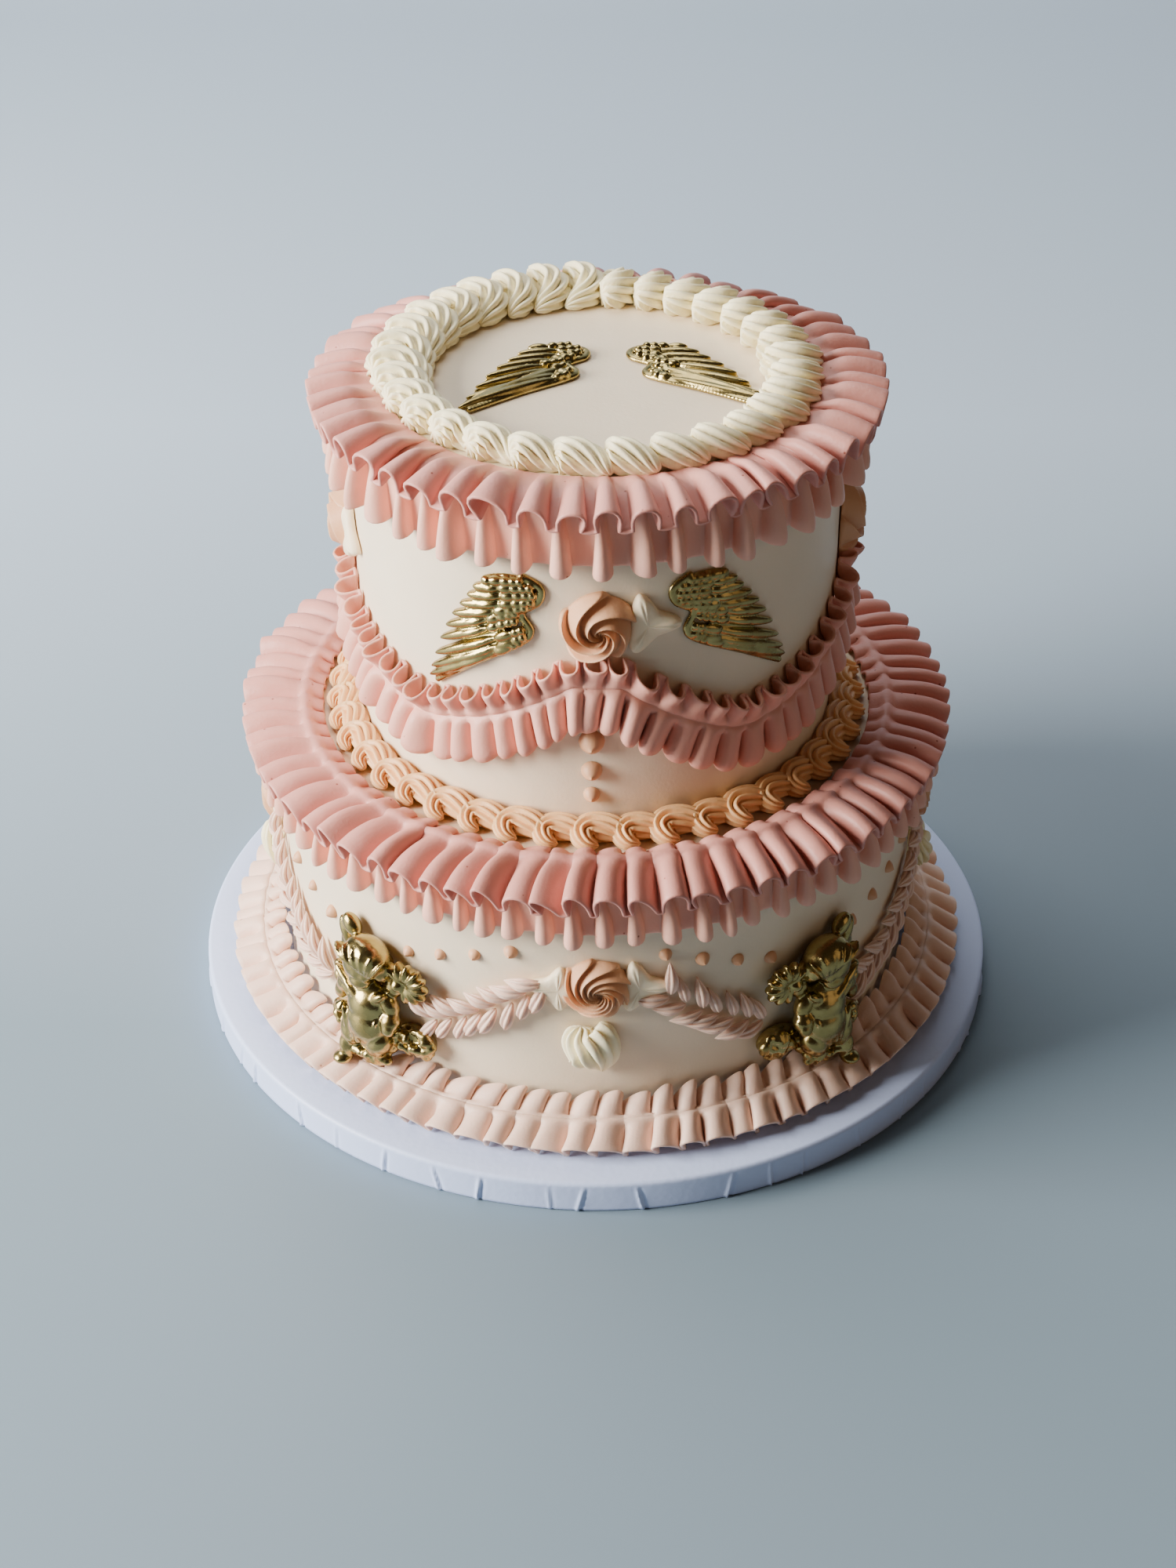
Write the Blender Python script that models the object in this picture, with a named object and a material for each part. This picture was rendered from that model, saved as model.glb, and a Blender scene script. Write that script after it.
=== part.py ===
"""Two-tier celebration cake, piped with buttercream and built together with its board.

The z axis points up, and the origin is the centre of the board's underside. Azimuths are in
degrees: 0 is the front of the cake (-Y) and they grow towards +X. Sizes are in millimetres and
become metres where a mesh is made.
"""
import math
from dataclasses import dataclass

import bmesh
import bpy
import numpy as np
from mathutils import Matrix, Vector

MM = 0.001
GAP = 0.4

BOARD_RADIUS = 152.4
BOARD_HEIGHT = 12.7
BOARD_ROUNDING = 1.5

LOWER_RADIUS = 119.0
LOWER_TOP = 116.7
UPPER_RADIUS = 86.0
UPPER_TOP = 247.1
ROUND_SIDES = 64

QUARTERS = {"front": 0.0, "right": 90.0, "back": 180.0, "left": -90.0}
CHERUB_OFFSET = 41.0
FIGURE_COVER = 7.0

DOTS_PER_QUARTER = 11
DOT_STEP = 6.42
DOT_SHIFT = -1.5
DOT_WIDTH = 4.8
DOT_HEIGHT = 2.6
DOT_SIDES = 5

COLOURS = {
    "tier_icing": (0.80, 0.70, 0.60),
    "dark_pink_icing": (0.62, 0.32, 0.27),
    "light_pink_icing": (0.76, 0.44, 0.36),
    "border_pink_icing": (0.76, 0.52, 0.44),
    "peach_icing": (0.66, 0.38, 0.22),
    "rosette_icing": (0.66, 0.38, 0.27),
    "cream_icing": (0.86, 0.82, 0.64),
    "gold": (0.42, 0.34, 0.16),
    "board_paper": (0.66, 0.70, 0.86),
}


def on_cake(radius, azimuth, height):
    """Place a point by its distance from the cake's axis, its azimuth and its height."""
    angle = math.radians(azimuth)
    return Vector((radius * math.sin(angle), -radius * math.cos(angle), height))


def make_material(slot):
    """Make the plain material of one slot."""
    material = bpy.data.materials.new(slot)
    material.use_nodes = True
    shader = material.node_tree.nodes["Principled BSDF"]
    shader.inputs["Base Color"].default_value = (*COLOURS[slot], 1.0)
    shader.inputs["Roughness"].default_value = 0.35 if slot == "gold" else 0.5
    shader.inputs["Metallic"].default_value = 1.0 if slot == "gold" else 0.0
    return material


def add_object(name, mesh, slot):
    """Put a mesh in the scene as one named piece of the cake."""
    thing = bpy.data.objects.new(name, mesh)
    mesh.materials.append(bpy.data.materials.get(slot) or make_material(slot))
    bpy.context.scene.collection.objects.link(thing)
    return thing


class Skin:
    """Collects the points and triangles of one closed surface, in millimetres."""

    def __init__(self):
        self.points = []
        self.faces = []

    def add_point(self, point):
        """Add one point and return its number."""
        self.points.append(Vector(point))
        return len(self.points) - 1

    def add_row(self, samples):
        """Add a row of (share, point) samples and return its (share, number) pairs."""
        return [(share, self.add_point(point)) for share, point in samples]

    def bridge(self, low, high):
        """Fill the strip between two rows, stepping along whichever row lags."""
        i = 0
        j = 0
        while i < len(low) - 1 or j < len(high) - 1:
            low_ends = i == len(low) - 1
            high_ends = j == len(high) - 1
            if high_ends or (not low_ends and low[i + 1][0] <= high[j + 1][0]):
                self.faces.append((low[i][1], low[i + 1][1], high[j][1]))
                i += 1
            else:
                self.faces.append((low[i][1], high[j + 1][1], high[j][1]))
                j += 1

    def bridge_all(self, rows):
        """Fill every strip between neighbouring rows, and from the last back to the first."""
        for low, high in zip(rows, rows[1:] + rows[:1]):
            self.bridge(low, high)

    def fan(self, ring, tip):
        """Join a closed row of (share, number) pairs to one point."""
        for (_, first), (_, second) in zip(ring, ring[1:]):
            self.faces.append((first, second, tip))

    def to_mesh(self, name):
        """Make the mesh, in metres, with its faces turned outwards."""
        work = bmesh.new()
        corners = [work.verts.new(point * MM) for point in self.points]
        for face in self.faces:
            work.faces.new([corners[number] for number in face])
        bmesh.ops.recalc_face_normals(work, faces=work.faces)
        if work.calc_volume(signed=True) < 0.0:
            bmesh.ops.reverse_faces(work, faces=work.faces)
        mesh = bpy.data.meshes.new(name)
        work.to_mesh(mesh)
        work.free()
        return mesh


def closed_row(row, period):
    """Repeat a row's first point at its end, one period further on."""
    return row + [(row[0][0] + period, row[0][1])]


def turned_mesh(name, profile, sides=ROUND_SIDES):
    """Turn a profile of (radius, height) points, bottom to top, about the cake's axis."""
    skin = Skin()
    rows = []
    for radius, height in profile:
        samples = [(k, on_cake(radius, 360.0 * k / sides, height)) for k in range(sides)]
        rows.append(closed_row(skin.add_row(samples), sides))
    for low, high in zip(rows, rows[1:]):
        skin.bridge(low, high)
    skin.faces.append([number for _, number in rows[0][:-1]])
    skin.faces.append([number for _, number in rows[-1][:-1]])
    return skin.to_mesh(name)


def fold_curve(swing, share):
    """Place a share of a folded ribbon along and out of its fold.

    The ribbon's direction swings as a sine of the length along it, which is the shape a strip
    takes when it buckles. Past a quarter turn the fold overhangs its own foot.
    """
    steps = 64
    middles = (np.arange(steps) + 0.5) / steps
    angles = swing * np.sin(2.0 * math.pi * middles)
    along = np.concatenate([[0.0], np.cumsum(np.cos(angles))])
    out = np.concatenate([[0.0], np.cumsum(np.sin(angles))])
    marks = np.linspace(0.0, 1.0, steps + 1)
    return (float(np.interp(share, marks, along / along[-1])),
            float(np.interp(share, marks, out / out.max())))


@dataclass
class Pleats:
    """A run of uneven pleats: where each starts, how wide and high it is and how it leans."""

    count: int
    seed: int
    hump: float = 0.62

    def __post_init__(self):
        dice = np.random.default_rng(self.seed)
        widths = 1.0 + 0.16 * dice.uniform(-1.0, 1.0, self.count)
        widths *= self.count / widths.sum()
        self.starts = np.concatenate([[0.0], np.cumsum(widths)])
        self.rises = 1.0 + 0.16 * dice.uniform(-1.0, 1.0, self.count)
        self.leans = 0.10 * dice.uniform(-1.0, 1.0, self.count)

    def samples(self, shares, swing, folded):
        """List (mark, place along the run, rise of the fold) for each share of each pleat.

        A row that isn't folded has straight pleats, and only a folded one leans.
        """
        listed = []
        for k in range(self.count):
            width = self.starts[k + 1] - self.starts[k]
            for share in shares:
                along, rise = fold_curve(swing, share)
                place = self.starts[k] + width * self.hump * along
                place += self.leans[k] * rise * folded
                listed.append((k + share * self.hump, place, rise * self.rises[k]))
        return listed


@dataclass
class Row:
    """One line round a ruffle: its radius and height, and its folds' size and direction."""

    radius: float
    height: float
    shares: tuple = (0.0,)
    fold: float = 0.0
    tilt: float = 0.0
    swing: float = 1.2
    turn: float = 0.0


def ring_ruffle(name, slot, pleats, rows):
    """Make a closed ring of pleats from the rows round its section."""
    skin = Skin()
    made = []
    step = 360.0 / pleats.count
    for row in rows:
        tilt = math.radians(row.tilt)
        samples = []
        for mark, place, rise in pleats.samples(row.shares, row.swing, row.fold > 0.0):
            radius = row.radius + row.fold * rise * math.cos(tilt)
            height = row.height + row.fold * rise * math.sin(tilt)
            samples.append((mark, on_cake(radius, step * (place + row.turn), height)))
        made.append(closed_row(skin.add_row(samples), pleats.count))
    skin.bridge_all(made)
    return add_object(name, skin.to_mesh(name), slot)


ROOT = (0.0,)
SOFT = (0.0, 0.5)
THREE = (0.0, 0.3, 0.7)
FOUR = (0.0, 0.3, 0.7, 1.0)


def add_upper_ruffles():
    """Add the light ruffle that hangs from the upper rim and the dark one that lies on it."""
    wall = UPPER_RADIUS + GAP
    ring_ruffle("upper_light_ruffle", "light_pink_icing", Pleats(45, 11), [
        Row(wall, 246.4),
        Row(wall + 1.4, 246.5, SOFT, 1.6, 0.0),
        Row(wall + 1.2, 223.0, FOUR, 7.4, 0.0, 1.35),
        Row(wall, 223.4)])
    ring_ruffle("upper_dark_ruffle", "dark_pink_icing", Pleats(50, 12, 0.70), [
        Row(82.2, UPPER_TOP + GAP),
        Row(82.4, UPPER_TOP + 2.0, SOFT, 1.2, 90.0),
        Row(97.0, 248.6, FOUR, 7.4, 84.0, 1.7, 0.12),
        Row(96.0, UPPER_TOP + GAP)])


def add_lower_ruffles():
    """Add the light ruffle that hangs from the lower rim and the dark one that lies on it."""
    wall = LOWER_RADIUS + GAP
    ring_ruffle("lower_light_ruffle", "light_pink_icing", Pleats(74, 13), [
        Row(wall, 116.0),
        Row(wall + 1.8, 116.1),
        Row(wall + 1.1, 98.0, THREE, 6.4, 0.0, 1.35),
        Row(wall, 98.4)])
    ring_ruffle("lower_dark_ruffle", "dark_pink_icing", Pleats(74, 14, 0.72), [
        Row(101.5, LOWER_TOP + GAP),
        Row(101.7, 119.6),
        Row(108.0, 118.8),
        Row(129.4, 117.9, THREE, 4.6, 82.0, 1.6, 0.25),
        Row(128.0, LOWER_TOP + GAP)])


def add_base_border():
    """Add the double row of scallops piped round the foot of the cake, on the board."""
    wall = LOWER_RADIUS + GAP
    foot = BOARD_HEIGHT + GAP
    ring_ruffle("base_border", "border_pink_icing", Pleats(86, 15, 0.8), [
        Row(wall, foot),
        Row(wall, 23.6),
        Row(121.6, 24.4, SOFT, 2.6, 50.0, 1.2, 0.3),
        Row(129.0, 20.4),
        Row(135.6, 14.6, SOFT, 3.4, 22.0, 1.2, 0.3),
        Row(134.6, foot)])


def shell_ring(name, slot, count, seed, rows):
    """Make a ring of slanted shells; each row gives radius, height, swell, turn and shares.

    A shell swells quickly and tapers slowly, and swell says how much of the height does so.
    """
    skin = Skin()
    dice = np.random.default_rng(seed)
    rises = 1.0 + 0.10 * dice.uniform(-1.0, 1.0, count)
    made = []
    step = 360.0 / count
    for radius, height, swell, turn, shares in rows:
        samples = []
        for k in range(count):
            for share in shares:
                bump = math.sin(math.pi * share ** 0.7) * rises[k]
                place = step * (k + share + turn)
                samples.append((k + share, on_cake(radius, place, height + swell * bump)))
        made.append(closed_row(skin.add_row(samples), count))
    skin.bridge_all(made)
    return add_object(name, skin.to_mesh(name), slot)


def add_shell_rings():
    """Add the cream shells on the top and the peach ones round the upper tier's foot."""
    shares = (0.0, 0.22, 0.6)
    low = UPPER_TOP + GAP
    shell_ring("top_shell_ring", "cream_icing", 34, 21, [
        (57.6, low, 0.0, 0.55, ROOT),
        (59.6, low + 3.0, 3.6, 0.45, shares),
        (68.6, low + 6.2, 5.4, 0.0, shares),
        (78.2, low + 2.6, 3.8, -0.45, shares),
        (80.6, low, 0.0, -0.55, ROOT)])
    low = LOWER_TOP + GAP
    shell_ring("lower_shell_ring", "peach_icing", 43, 22, [
        (87.0, low, 0.0, 0.4, ROOT),
        (89.0, low + 4.6, 3.4, 0.3, shares),
        (96.4, low + 3.6, 3.6, -0.3, shares),
        (98.8, low, 0.0, -0.4, ROOT)])


@dataclass
class Swag:
    """The line of one festoon on the upper tier, between two rosettes."""

    start: float
    end: float
    low_at: float
    low_height: float
    start_height: float
    end_height: float

    def height(self, azimuth):
        """Give the line's height, which rises ever faster towards its two ends."""
        before = azimuth < self.low_at
        end_at = self.start if before else self.end
        end_height = self.start_height if before else self.end_height
        share = (azimuth - self.low_at) / (end_at - self.low_at)
        return self.low_height + (end_height - self.low_height) * share ** 1.5

    def place(self, share):
        """Give the azimuth and height at a share of the span, and the slope there."""
        azimuth = self.start + (self.end - self.start) * share
        nudge = 0.05
        rise = self.height(azimuth + nudge) - self.height(azimuth)
        run = UPPER_RADIUS * math.radians(nudge)
        return azimuth, self.height(azimuth), math.atan2(rise, run)


SWAGS = {
    "front_left": Swag(-85.0, -5.0, -41.0, 154.5, 173.5, 177.5),
    "front_right": Swag(5.0, 85.0, 36.0, 152.5, 177.5, 173.5),
    "back_right": Swag(95.0, 175.0, 138.0, 154.0, 173.5, 173.0),
    "back_left": Swag(-175.0, -95.0, -135.0, 153.5, 173.5, 173.5),
}
SWAG_PLEATS = 19


def swag_ruffle(name, swag, seed):
    """Make one festoon: a ribbon pinched along its line, with a pleated flange on each side."""
    skin = Skin()
    pleats = Pleats(SWAG_PLEATS, seed, 0.66)
    back = GAP + 0.2
    rows = [(6.0, back, 0.0, ROOT), (8.2, 1.6, 5.6, THREE), (0.0, 3.4, 0.0, ROOT),
            (-12.8, 1.6, 6.0, THREE), (-11.4, back, 0.0, ROOT)]
    made = []
    for across, out, fold, shares in rows:
        listed = pleats.samples(shares, 1.4, fold > 0.0)
        listed.append((SWAG_PLEATS, float(SWAG_PLEATS), 0.0))
        samples = []
        for mark, place, rise in listed:
            azimuth, height, slope = swag.place(min(max(place / SWAG_PLEATS, 0.0), 1.0))
            aside = math.degrees(-across * math.sin(slope) / UPPER_RADIUS)
            point = on_cake(UPPER_RADIUS + out + fold * rise, azimuth + aside,
                            height + across * math.cos(slope))
            samples.append((mark, point))
        made.append(skin.add_row(samples))
    skin.bridge_all(made)
    skin.faces.append([row[0][1] for row in made])
    skin.faces.append([row[-1][1] for row in made])
    return add_object(name, skin.to_mesh(name), "light_pink_icing")


class Wall:
    """A tier's wall, on which a flat design is wrapped about one azimuth and height."""

    def __init__(self, radius, azimuth, height):
        self.radius = radius
        self.azimuth = azimuth
        self.height = height

    def place(self, u, v, out):
        """Place a point u along the wall, v up it and out from it."""
        azimuth = self.azimuth + math.degrees(u / self.radius)
        return on_cake(self.radius + out, azimuth, self.height + v)


class Table:
    """The flat top of the cake, on which a design lies about one point."""

    def __init__(self, x, y, height):
        self.centre = Vector((x, y, height))

    def place(self, u, v, out):
        """Place a point u to the right, v to the back and out upwards."""
        return self.centre + Vector((u, v, out))


def piped_mound(name, slot, place, outline, depth, ridges, twist, rings):
    """Make a ridged mound: rings of points shrink and twist from its rim to its middle.

    outline gives u and v for a bearing, and each ring is its scale, its share of the depth,
    its ridges' size and its share of the twist.
    """
    skin = Skin()
    columns = 2 * ridges
    made = []
    for scale, lift, ridge, turn in [(0.86, 0.0, 0.0, 0.0)] + rings:
        samples = []
        for k in range(columns):
            bearing = 2.0 * math.pi * k / columns + twist * turn
            swell = 1.0 + ridge * (1 if k % 2 else -1)
            u, v = outline(bearing)
            out = GAP + 0.1 + depth * lift * swell
            samples.append((k, place(u * scale * swell, v * scale * swell, out)))
        made.append(closed_row(skin.add_row(samples), columns))
    for low, high in zip(made, made[1:]):
        skin.bridge(low, high)
    skin.fan(made[0], skin.add_point(place(0.0, 0.0, GAP + 0.1)))
    skin.fan(made[-1], skin.add_point(place(0.0, 0.0, depth)))
    return add_object(name, skin.to_mesh(name), slot)


def add_rosettes():
    """Add the eight rosettes, four on each tier."""
    rings = [(1.0, 0.34, 0.05, 0.1), (0.66, 0.86, 0.10, 0.55), (0.26, 0.9, 0.14, 1.0)]
    for side, azimuth in QUARTERS.items():
        upper = 200.0 if side == "front" else 194.0
        for tier, radius, height, size, depth in (("upper", UPPER_RADIUS, upper, 12.4, 9.5),
                                                  ("lower", LOWER_RADIUS, 75.0, 11.6, 8.5)):
            wall = Wall(radius, azimuth, height)
            piped_mound(f"{tier}_rosette_{side}", "rosette_icing", wall.place,
                        lambda bearing, size=size: (size * math.sin(bearing), size * math.cos(bearing)),
                        depth, 5, 2.2, rings)


def drop_outline(bearing):
    """Give the pear outline of a hanging shell: round above and drawn to a tip below."""
    sine = math.sin(bearing)
    cosine = math.cos(bearing)
    if cosine > 0.0:
        return 8.0 * sine, 9.0 * cosine
    return 8.0 * sine * (1.0 + 0.45 * cosine), 13.4 * cosine


def add_drops():
    """Add the cream shell that hangs under each rosette of the lower tier."""
    rings = [(1.0, 0.3, 0.05, 0.0), (0.6, 0.9, 0.09, 0.0)]
    for side, azimuth in QUARTERS.items():
        wall = Wall(LOWER_RADIUS, azimuth, 51.6)
        piped_mound(f"lower_drop_{side}", "cream_icing", wall.place, drop_outline, 8.0, 5, 0.0, rings)


def piped_leaf(name, place, length, width, rise):
    """Make a thin wavy leaf from its root at u=0 to its tip, with both faces split alike."""
    skin = Skin()
    thickness = 1.1
    left, right, top, bottom = [], [], [], []
    for share, breadth in ((0.0, 0.62), (0.35, 1.0), (0.7, 0.7), (1.0, 0.0)):
        u = length * share
        out = GAP + 0.8 + rise * share
        half = 0.5 * width * breadth
        wave = 0.7 * math.sin(9.0 * share)
        if breadth > 0.0:
            left.append((share, skin.add_point(place(u, -half, out + wave))))
            right.append((share, skin.add_point(place(u, half, out - wave))))
            top.append((share, skin.add_point(place(u, 0.0, out + thickness - 0.3))))
            bottom.append((share, skin.add_point(place(u, 0.0, out - 0.5))))
        else:
            tip = (share, skin.add_point(place(u, 0.0, out)))
    rows = [row + [tip] for row in (left, top, right, bottom)]
    for low, high in zip(rows, rows[1:] + rows[:1]):
        for k in range(3):
            corners = [low[k][1], low[k + 1][1], high[k + 1][1], high[k][1]]
            if low[k + 1][1] == high[k + 1][1]:
                corners = [low[k][1], low[k + 1][1], high[k][1]]
            skin.faces.append(corners)
    skin.faces.append([row[0][1] for row in rows])
    return add_object(name, skin.to_mesh(name), "cream_icing")


def add_leaves():
    """Add one leaf beside each upper rosette and one on each side of each lower rosette."""
    for side, azimuth in QUARTERS.items():
        upper = Wall(UPPER_RADIUS, azimuth, 200.0 if side == "front" else 194.0)
        lower = Wall(LOWER_RADIUS, azimuth, 72.0)
        piped_leaf(f"upper_leaf_{side}", lambda u, v, out, wall=upper: wall.place(13.3 + u, v, out),
                   10.6, 13.0, 3.4)
        for name, sign in (("left", -1.0), ("right", 1.0)):
            piped_leaf(f"lower_leaf_{name}_{side}",
                       lambda u, v, out, wall=lower, sign=sign: wall.place(sign * (12.6 + u), v, out),
                       8.2, 9.4, 3.0)


def through(points, share):
    """Place a share along a smooth curve through the points given."""
    last = len(points) - 1
    span = min(int(share * last), last - 1)
    t = share * last - span
    ring = [points[min(max(span + k, 0), last)] for k in (-1, 0, 1, 2)]
    blend = []
    for a, b, c, d in zip(*ring):
        blend.append(0.5 * (2 * b + (c - a) * t + (2 * a - 5 * b + 4 * c - d) * t * t
                            + (3 * b - a - 3 * c + d) * t ** 3))
    return blend


WING_LEADING_EDGE = [(0.0, 0.0), (9.6, -4.4), (9.8, -10.0), (4.0, -15.4), (7.0, -21.7),
                     (3.4, -27.0), (-12.0, -37.5), (-31.5, -52.5)]
WING_TRAILING_EDGE = [(-1.0, 0.3), (-10.5, -5.7), (-15.4, -12.5), (-21.0, -21.0),
                      (-26.0, -31.5), (-30.5, -44.0), (-32.4, -51.5)]
WING_FEATHERS = 8


def wing_rows(turn):
    """List the wing's rows as (share, u, v, out), from its leading edge to its feather tips."""
    cosine = math.cos(math.radians(turn))
    sine = math.sin(math.radians(turn))

    def blended(share, across, out):
        lead = through(WING_LEADING_EDGE, share)
        trail = through(WING_TRAILING_EDGE, share)
        u = lead[0] + (trail[0] - lead[0]) * across
        v = lead[1] + (trail[1] - lead[1]) * across
        return share, u * cosine - v * sine, u * sine + v * cosine, out

    whole = [k / WING_FEATHERS for k in range(WING_FEATHERS + 1)]
    halves = [k / (2 * WING_FEATHERS) for k in range(2 * WING_FEATHERS + 1)]
    back = GAP + 0.5
    scallops = [1.0 if k % 2 else 0.90 for k in range(len(halves))]
    return [
        [blended(share, 0.04, back) for share in whole],
        [blended(share, 0.0, 2.0) for share in whole],
        [blended(share, 0.42, 3.6) for share in whole],
        [blended(share, across, 2.2) for share, across in zip(halves, scallops)],
        [blended(share, 0.88, back) for share in whole],
        [blended(share, 0.46, back) for share in whole]]


def add_wing(name, place, mirrored, turn):
    """Add one gold wing, whose design point is the top of its shoulder."""
    skin = Skin()
    sign = -1.0 if mirrored else 1.0
    rows = []
    for listed in wing_rows(turn):
        rows.append(skin.add_row([(share, place(sign * u, v, out)) for share, u, v, out in listed]))
    skin.bridge_all(rows)
    for end in (0, -1):
        skin.faces.append([row[end][1] for row in rows])
    return add_object(name, skin.to_mesh(name), "gold")


def add_wings():
    """Add the pair of wings on the front of the upper tier and the pair on its top."""
    add_wing("wall_wing_left", Wall(UPPER_RADIUS, -19.4, 218.3).place, False, 0.0)
    add_wing("wall_wing_right", Wall(UPPER_RADIUS, 23.1, 218.3).place, True, 6.0)
    add_wing("top_wing_left", Table(-14.3, 24.4, UPPER_TOP).place, False, 0.0)
    add_wing("top_wing_right", Table(21.6, 25.0, UPPER_TOP).place, True, 6.0)


@dataclass
class Lump:
    """One rounded mass of a cast figure: its centre and its half sizes."""

    u: float
    v: float
    out: float
    half_u: float
    half_v: float
    half_out: float


CHERUB = {
    "head": Lump(2.0, 69.0, 7.5, 8.6, 9.2, 7.0),
    "curls": Lump(3.5, 75.0, 5.0, 8.0, 6.5, 5.0),
    "wing": Lump(-7.0, 77.0, 3.5, 4.6, 7.6, 3.4),
    "bouquet": Lump(18.5, 65.4, 4.5, 7.0, 6.2, 4.6),
    "hand": Lump(13.0, 60.5, 5.0, 5.4, 5.4, 4.6),
    "shoulders": Lump(1.0, 58.0, 5.5, 12.0, 6.6, 5.6),
    "torso": Lump(3.0, 47.0, 6.5, 10.4, 13.5, 7.4),
    "left_arm": Lump(-13.0, 45.0, 3.5, 4.6, 10.0, 4.0),
    "right_arm": Lump(13.5, 50.0, 5.5, 5.0, 7.6, 5.0),
    "left_flowers": Lump(-11.5, 33.5, 5.5, 6.4, 6.4, 5.6),
    "lap": Lump(2.0, 33.0, 8.0, 12.0, 7.6, 6.4),
    "right_flowers": Lump(20.0, 39.0, 4.5, 9.6, 8.0, 5.0),
    "foot": Lump(-3.5, 26.4, 13.0, 3.6, 6.0, 4.2),
}
CHERUB_TRIANGLES = 180


def cherub_blank(sign):
    """Make one figure's masses as a joined mesh on a flat ground."""
    work = bmesh.new()
    for lump in CHERUB.values():
        sizes = Matrix.Diagonal((lump.half_u, lump.half_v, lump.half_out, 1.0))
        place = Matrix.Translation((sign * lump.u, lump.v, lump.out))
        bmesh.ops.create_icosphere(work, subdivisions=3, radius=1.0, matrix=place @ sizes)
    mesh = bpy.data.meshes.new("cherub_blank")
    work.to_mesh(mesh)
    work.free()
    return mesh


def modified_mesh(thing):
    """Give the mesh of an object as its modifiers leave it, and remove the object."""
    bpy.context.view_layer.update()
    graph = bpy.context.evaluated_depsgraph_get()
    mesh = bpy.data.meshes.new_from_object(thing.evaluated_get(graph))
    bpy.data.objects.remove(thing)
    return mesh


def merged_figure(sign):
    """Merge the masses of a figure into one closed skin of few triangles."""
    blank = bpy.data.objects.new("cherub_blank", cherub_blank(sign))
    bpy.context.scene.collection.objects.link(blank)
    merge = blank.modifiers.new("merge", "REMESH")
    merge.mode = "VOXEL"
    merge.voxel_size = 1.1
    merged = bpy.data.objects.new("cherub_merged", modified_mesh(blank))
    bpy.context.scene.collection.objects.link(merged)
    merged.data.materials.clear()
    fewer = merged.modifiers.new("fewer", "DECIMATE")
    fewer.use_collapse_triangulate = True
    fewer.ratio = CHERUB_TRIANGLES / (2.0 * len(merged.data.polygons))
    return modified_mesh(merged)


def ground_cutter():
    """Make the solid of the lower wall and the border, with a little room round it."""
    wall = LOWER_RADIUS + GAP + 0.05
    profile = [(140.2, 5.0), (140.2, 16.8), (131.0, 24.6), (124.6, 28.4), (wall, 28.6), (wall, 96.0)]
    cutter = bpy.data.objects.new("ground_cutter", turned_mesh("ground_cutter", profile, 128))
    bpy.context.scene.collection.objects.link(cutter)
    cutter.hide_render = True
    cutter.display_type = "WIRE"
    return cutter


def add_cherubs():
    """Add the four gold figures, each cut to lie on the wall and over the border.

    Each pair flanks the front or the back rosette, and its flowers are on that side.
    """
    cutter = ground_cutter()
    for name, rosette, side in (("front_left", 0.0, -1.0), ("front_right", 0.0, 1.0),
                                ("back_right", 180.0, -1.0), ("back_left", 180.0, 1.0)):
        mesh = merged_figure(-side)
        wall = Wall(LOWER_RADIUS, rosette + side * CHERUB_OFFSET, 0.0)
        for corner in mesh.vertices:
            corner.co = wall.place(*corner.co) * MM
        figure = add_object(f"cherub_{name}", mesh, "gold")
        cut = figure.modifiers.new("cut", "BOOLEAN")
        cut.operation = "DIFFERENCE"
        cut.solver = "EXACT"
        cut.object = cutter


BRAID_STEPS = 7


def braid_height(offset):
    """Give a braid's height by its distance in degrees from the rosette it starts at."""
    lowest = 42.0
    return lowest + 50.4 * ((1.0 - offset / 45.0) ** 1.9)


def braid_row(centre, first, last, across, out, slant):
    """List one row of a braid: the notch and then the raised tip of each shell.

    Tips lie further along than notches, which slants the shells of the two outer rows.
    """
    def place(share, width, lift):
        offset = first + (last - first) * min(share, 1.0)
        return on_cake(LOWER_RADIUS + lift, centre + offset, braid_height(abs(offset)) + width)

    samples = []
    for k in range(BRAID_STEPS):
        samples.append((k, place(k / BRAID_STEPS, 0.72 * across, out)))
        tip = (k + 0.55 + slant) / BRAID_STEPS
        samples.append((k + 0.55, place(tip, across, out + 0.5 + abs(slant))))
    samples.append((BRAID_STEPS, place(1.0, 0.72 * across, out)))
    return samples


def add_braid(name, centre, first, last):
    """Add a braid of small slanted shells along the wall, in two rows that meet."""
    skin = Skin()
    half = 5.4
    back = []
    for k in range(BRAID_STEPS + 1):
        offset = first + (last - first) * k / BRAID_STEPS
        back.append((k, on_cake(LOWER_RADIUS + GAP, centre + offset, braid_height(abs(offset)))))
    rows = [skin.add_row(samples) for samples in (
        braid_row(centre, first, last, -half, GAP + 0.1, 0.55),
        braid_row(centre, first, last, 0.0, 3.2, 0.0),
        braid_row(centre, first, last, half, GAP + 0.1, 0.55),
        back)]
    skin.bridge_all(rows)
    for end in (0, -1):
        skin.faces.append([row[end][1] for row in rows])
    return add_object(name, skin.to_mesh(name), "border_pink_icing")


def add_braids():
    """Add the eight braids, from each lower rosette out to the figures on both its sides."""
    for side, azimuth in QUARTERS.items():
        reach = 26.6 if side in ("front", "back") else 38.0
        add_braid(f"braid_left_{side}", azimuth, -12.4, -reach)
        add_braid(f"braid_right_{side}", azimuth, 12.4, reach)


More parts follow.
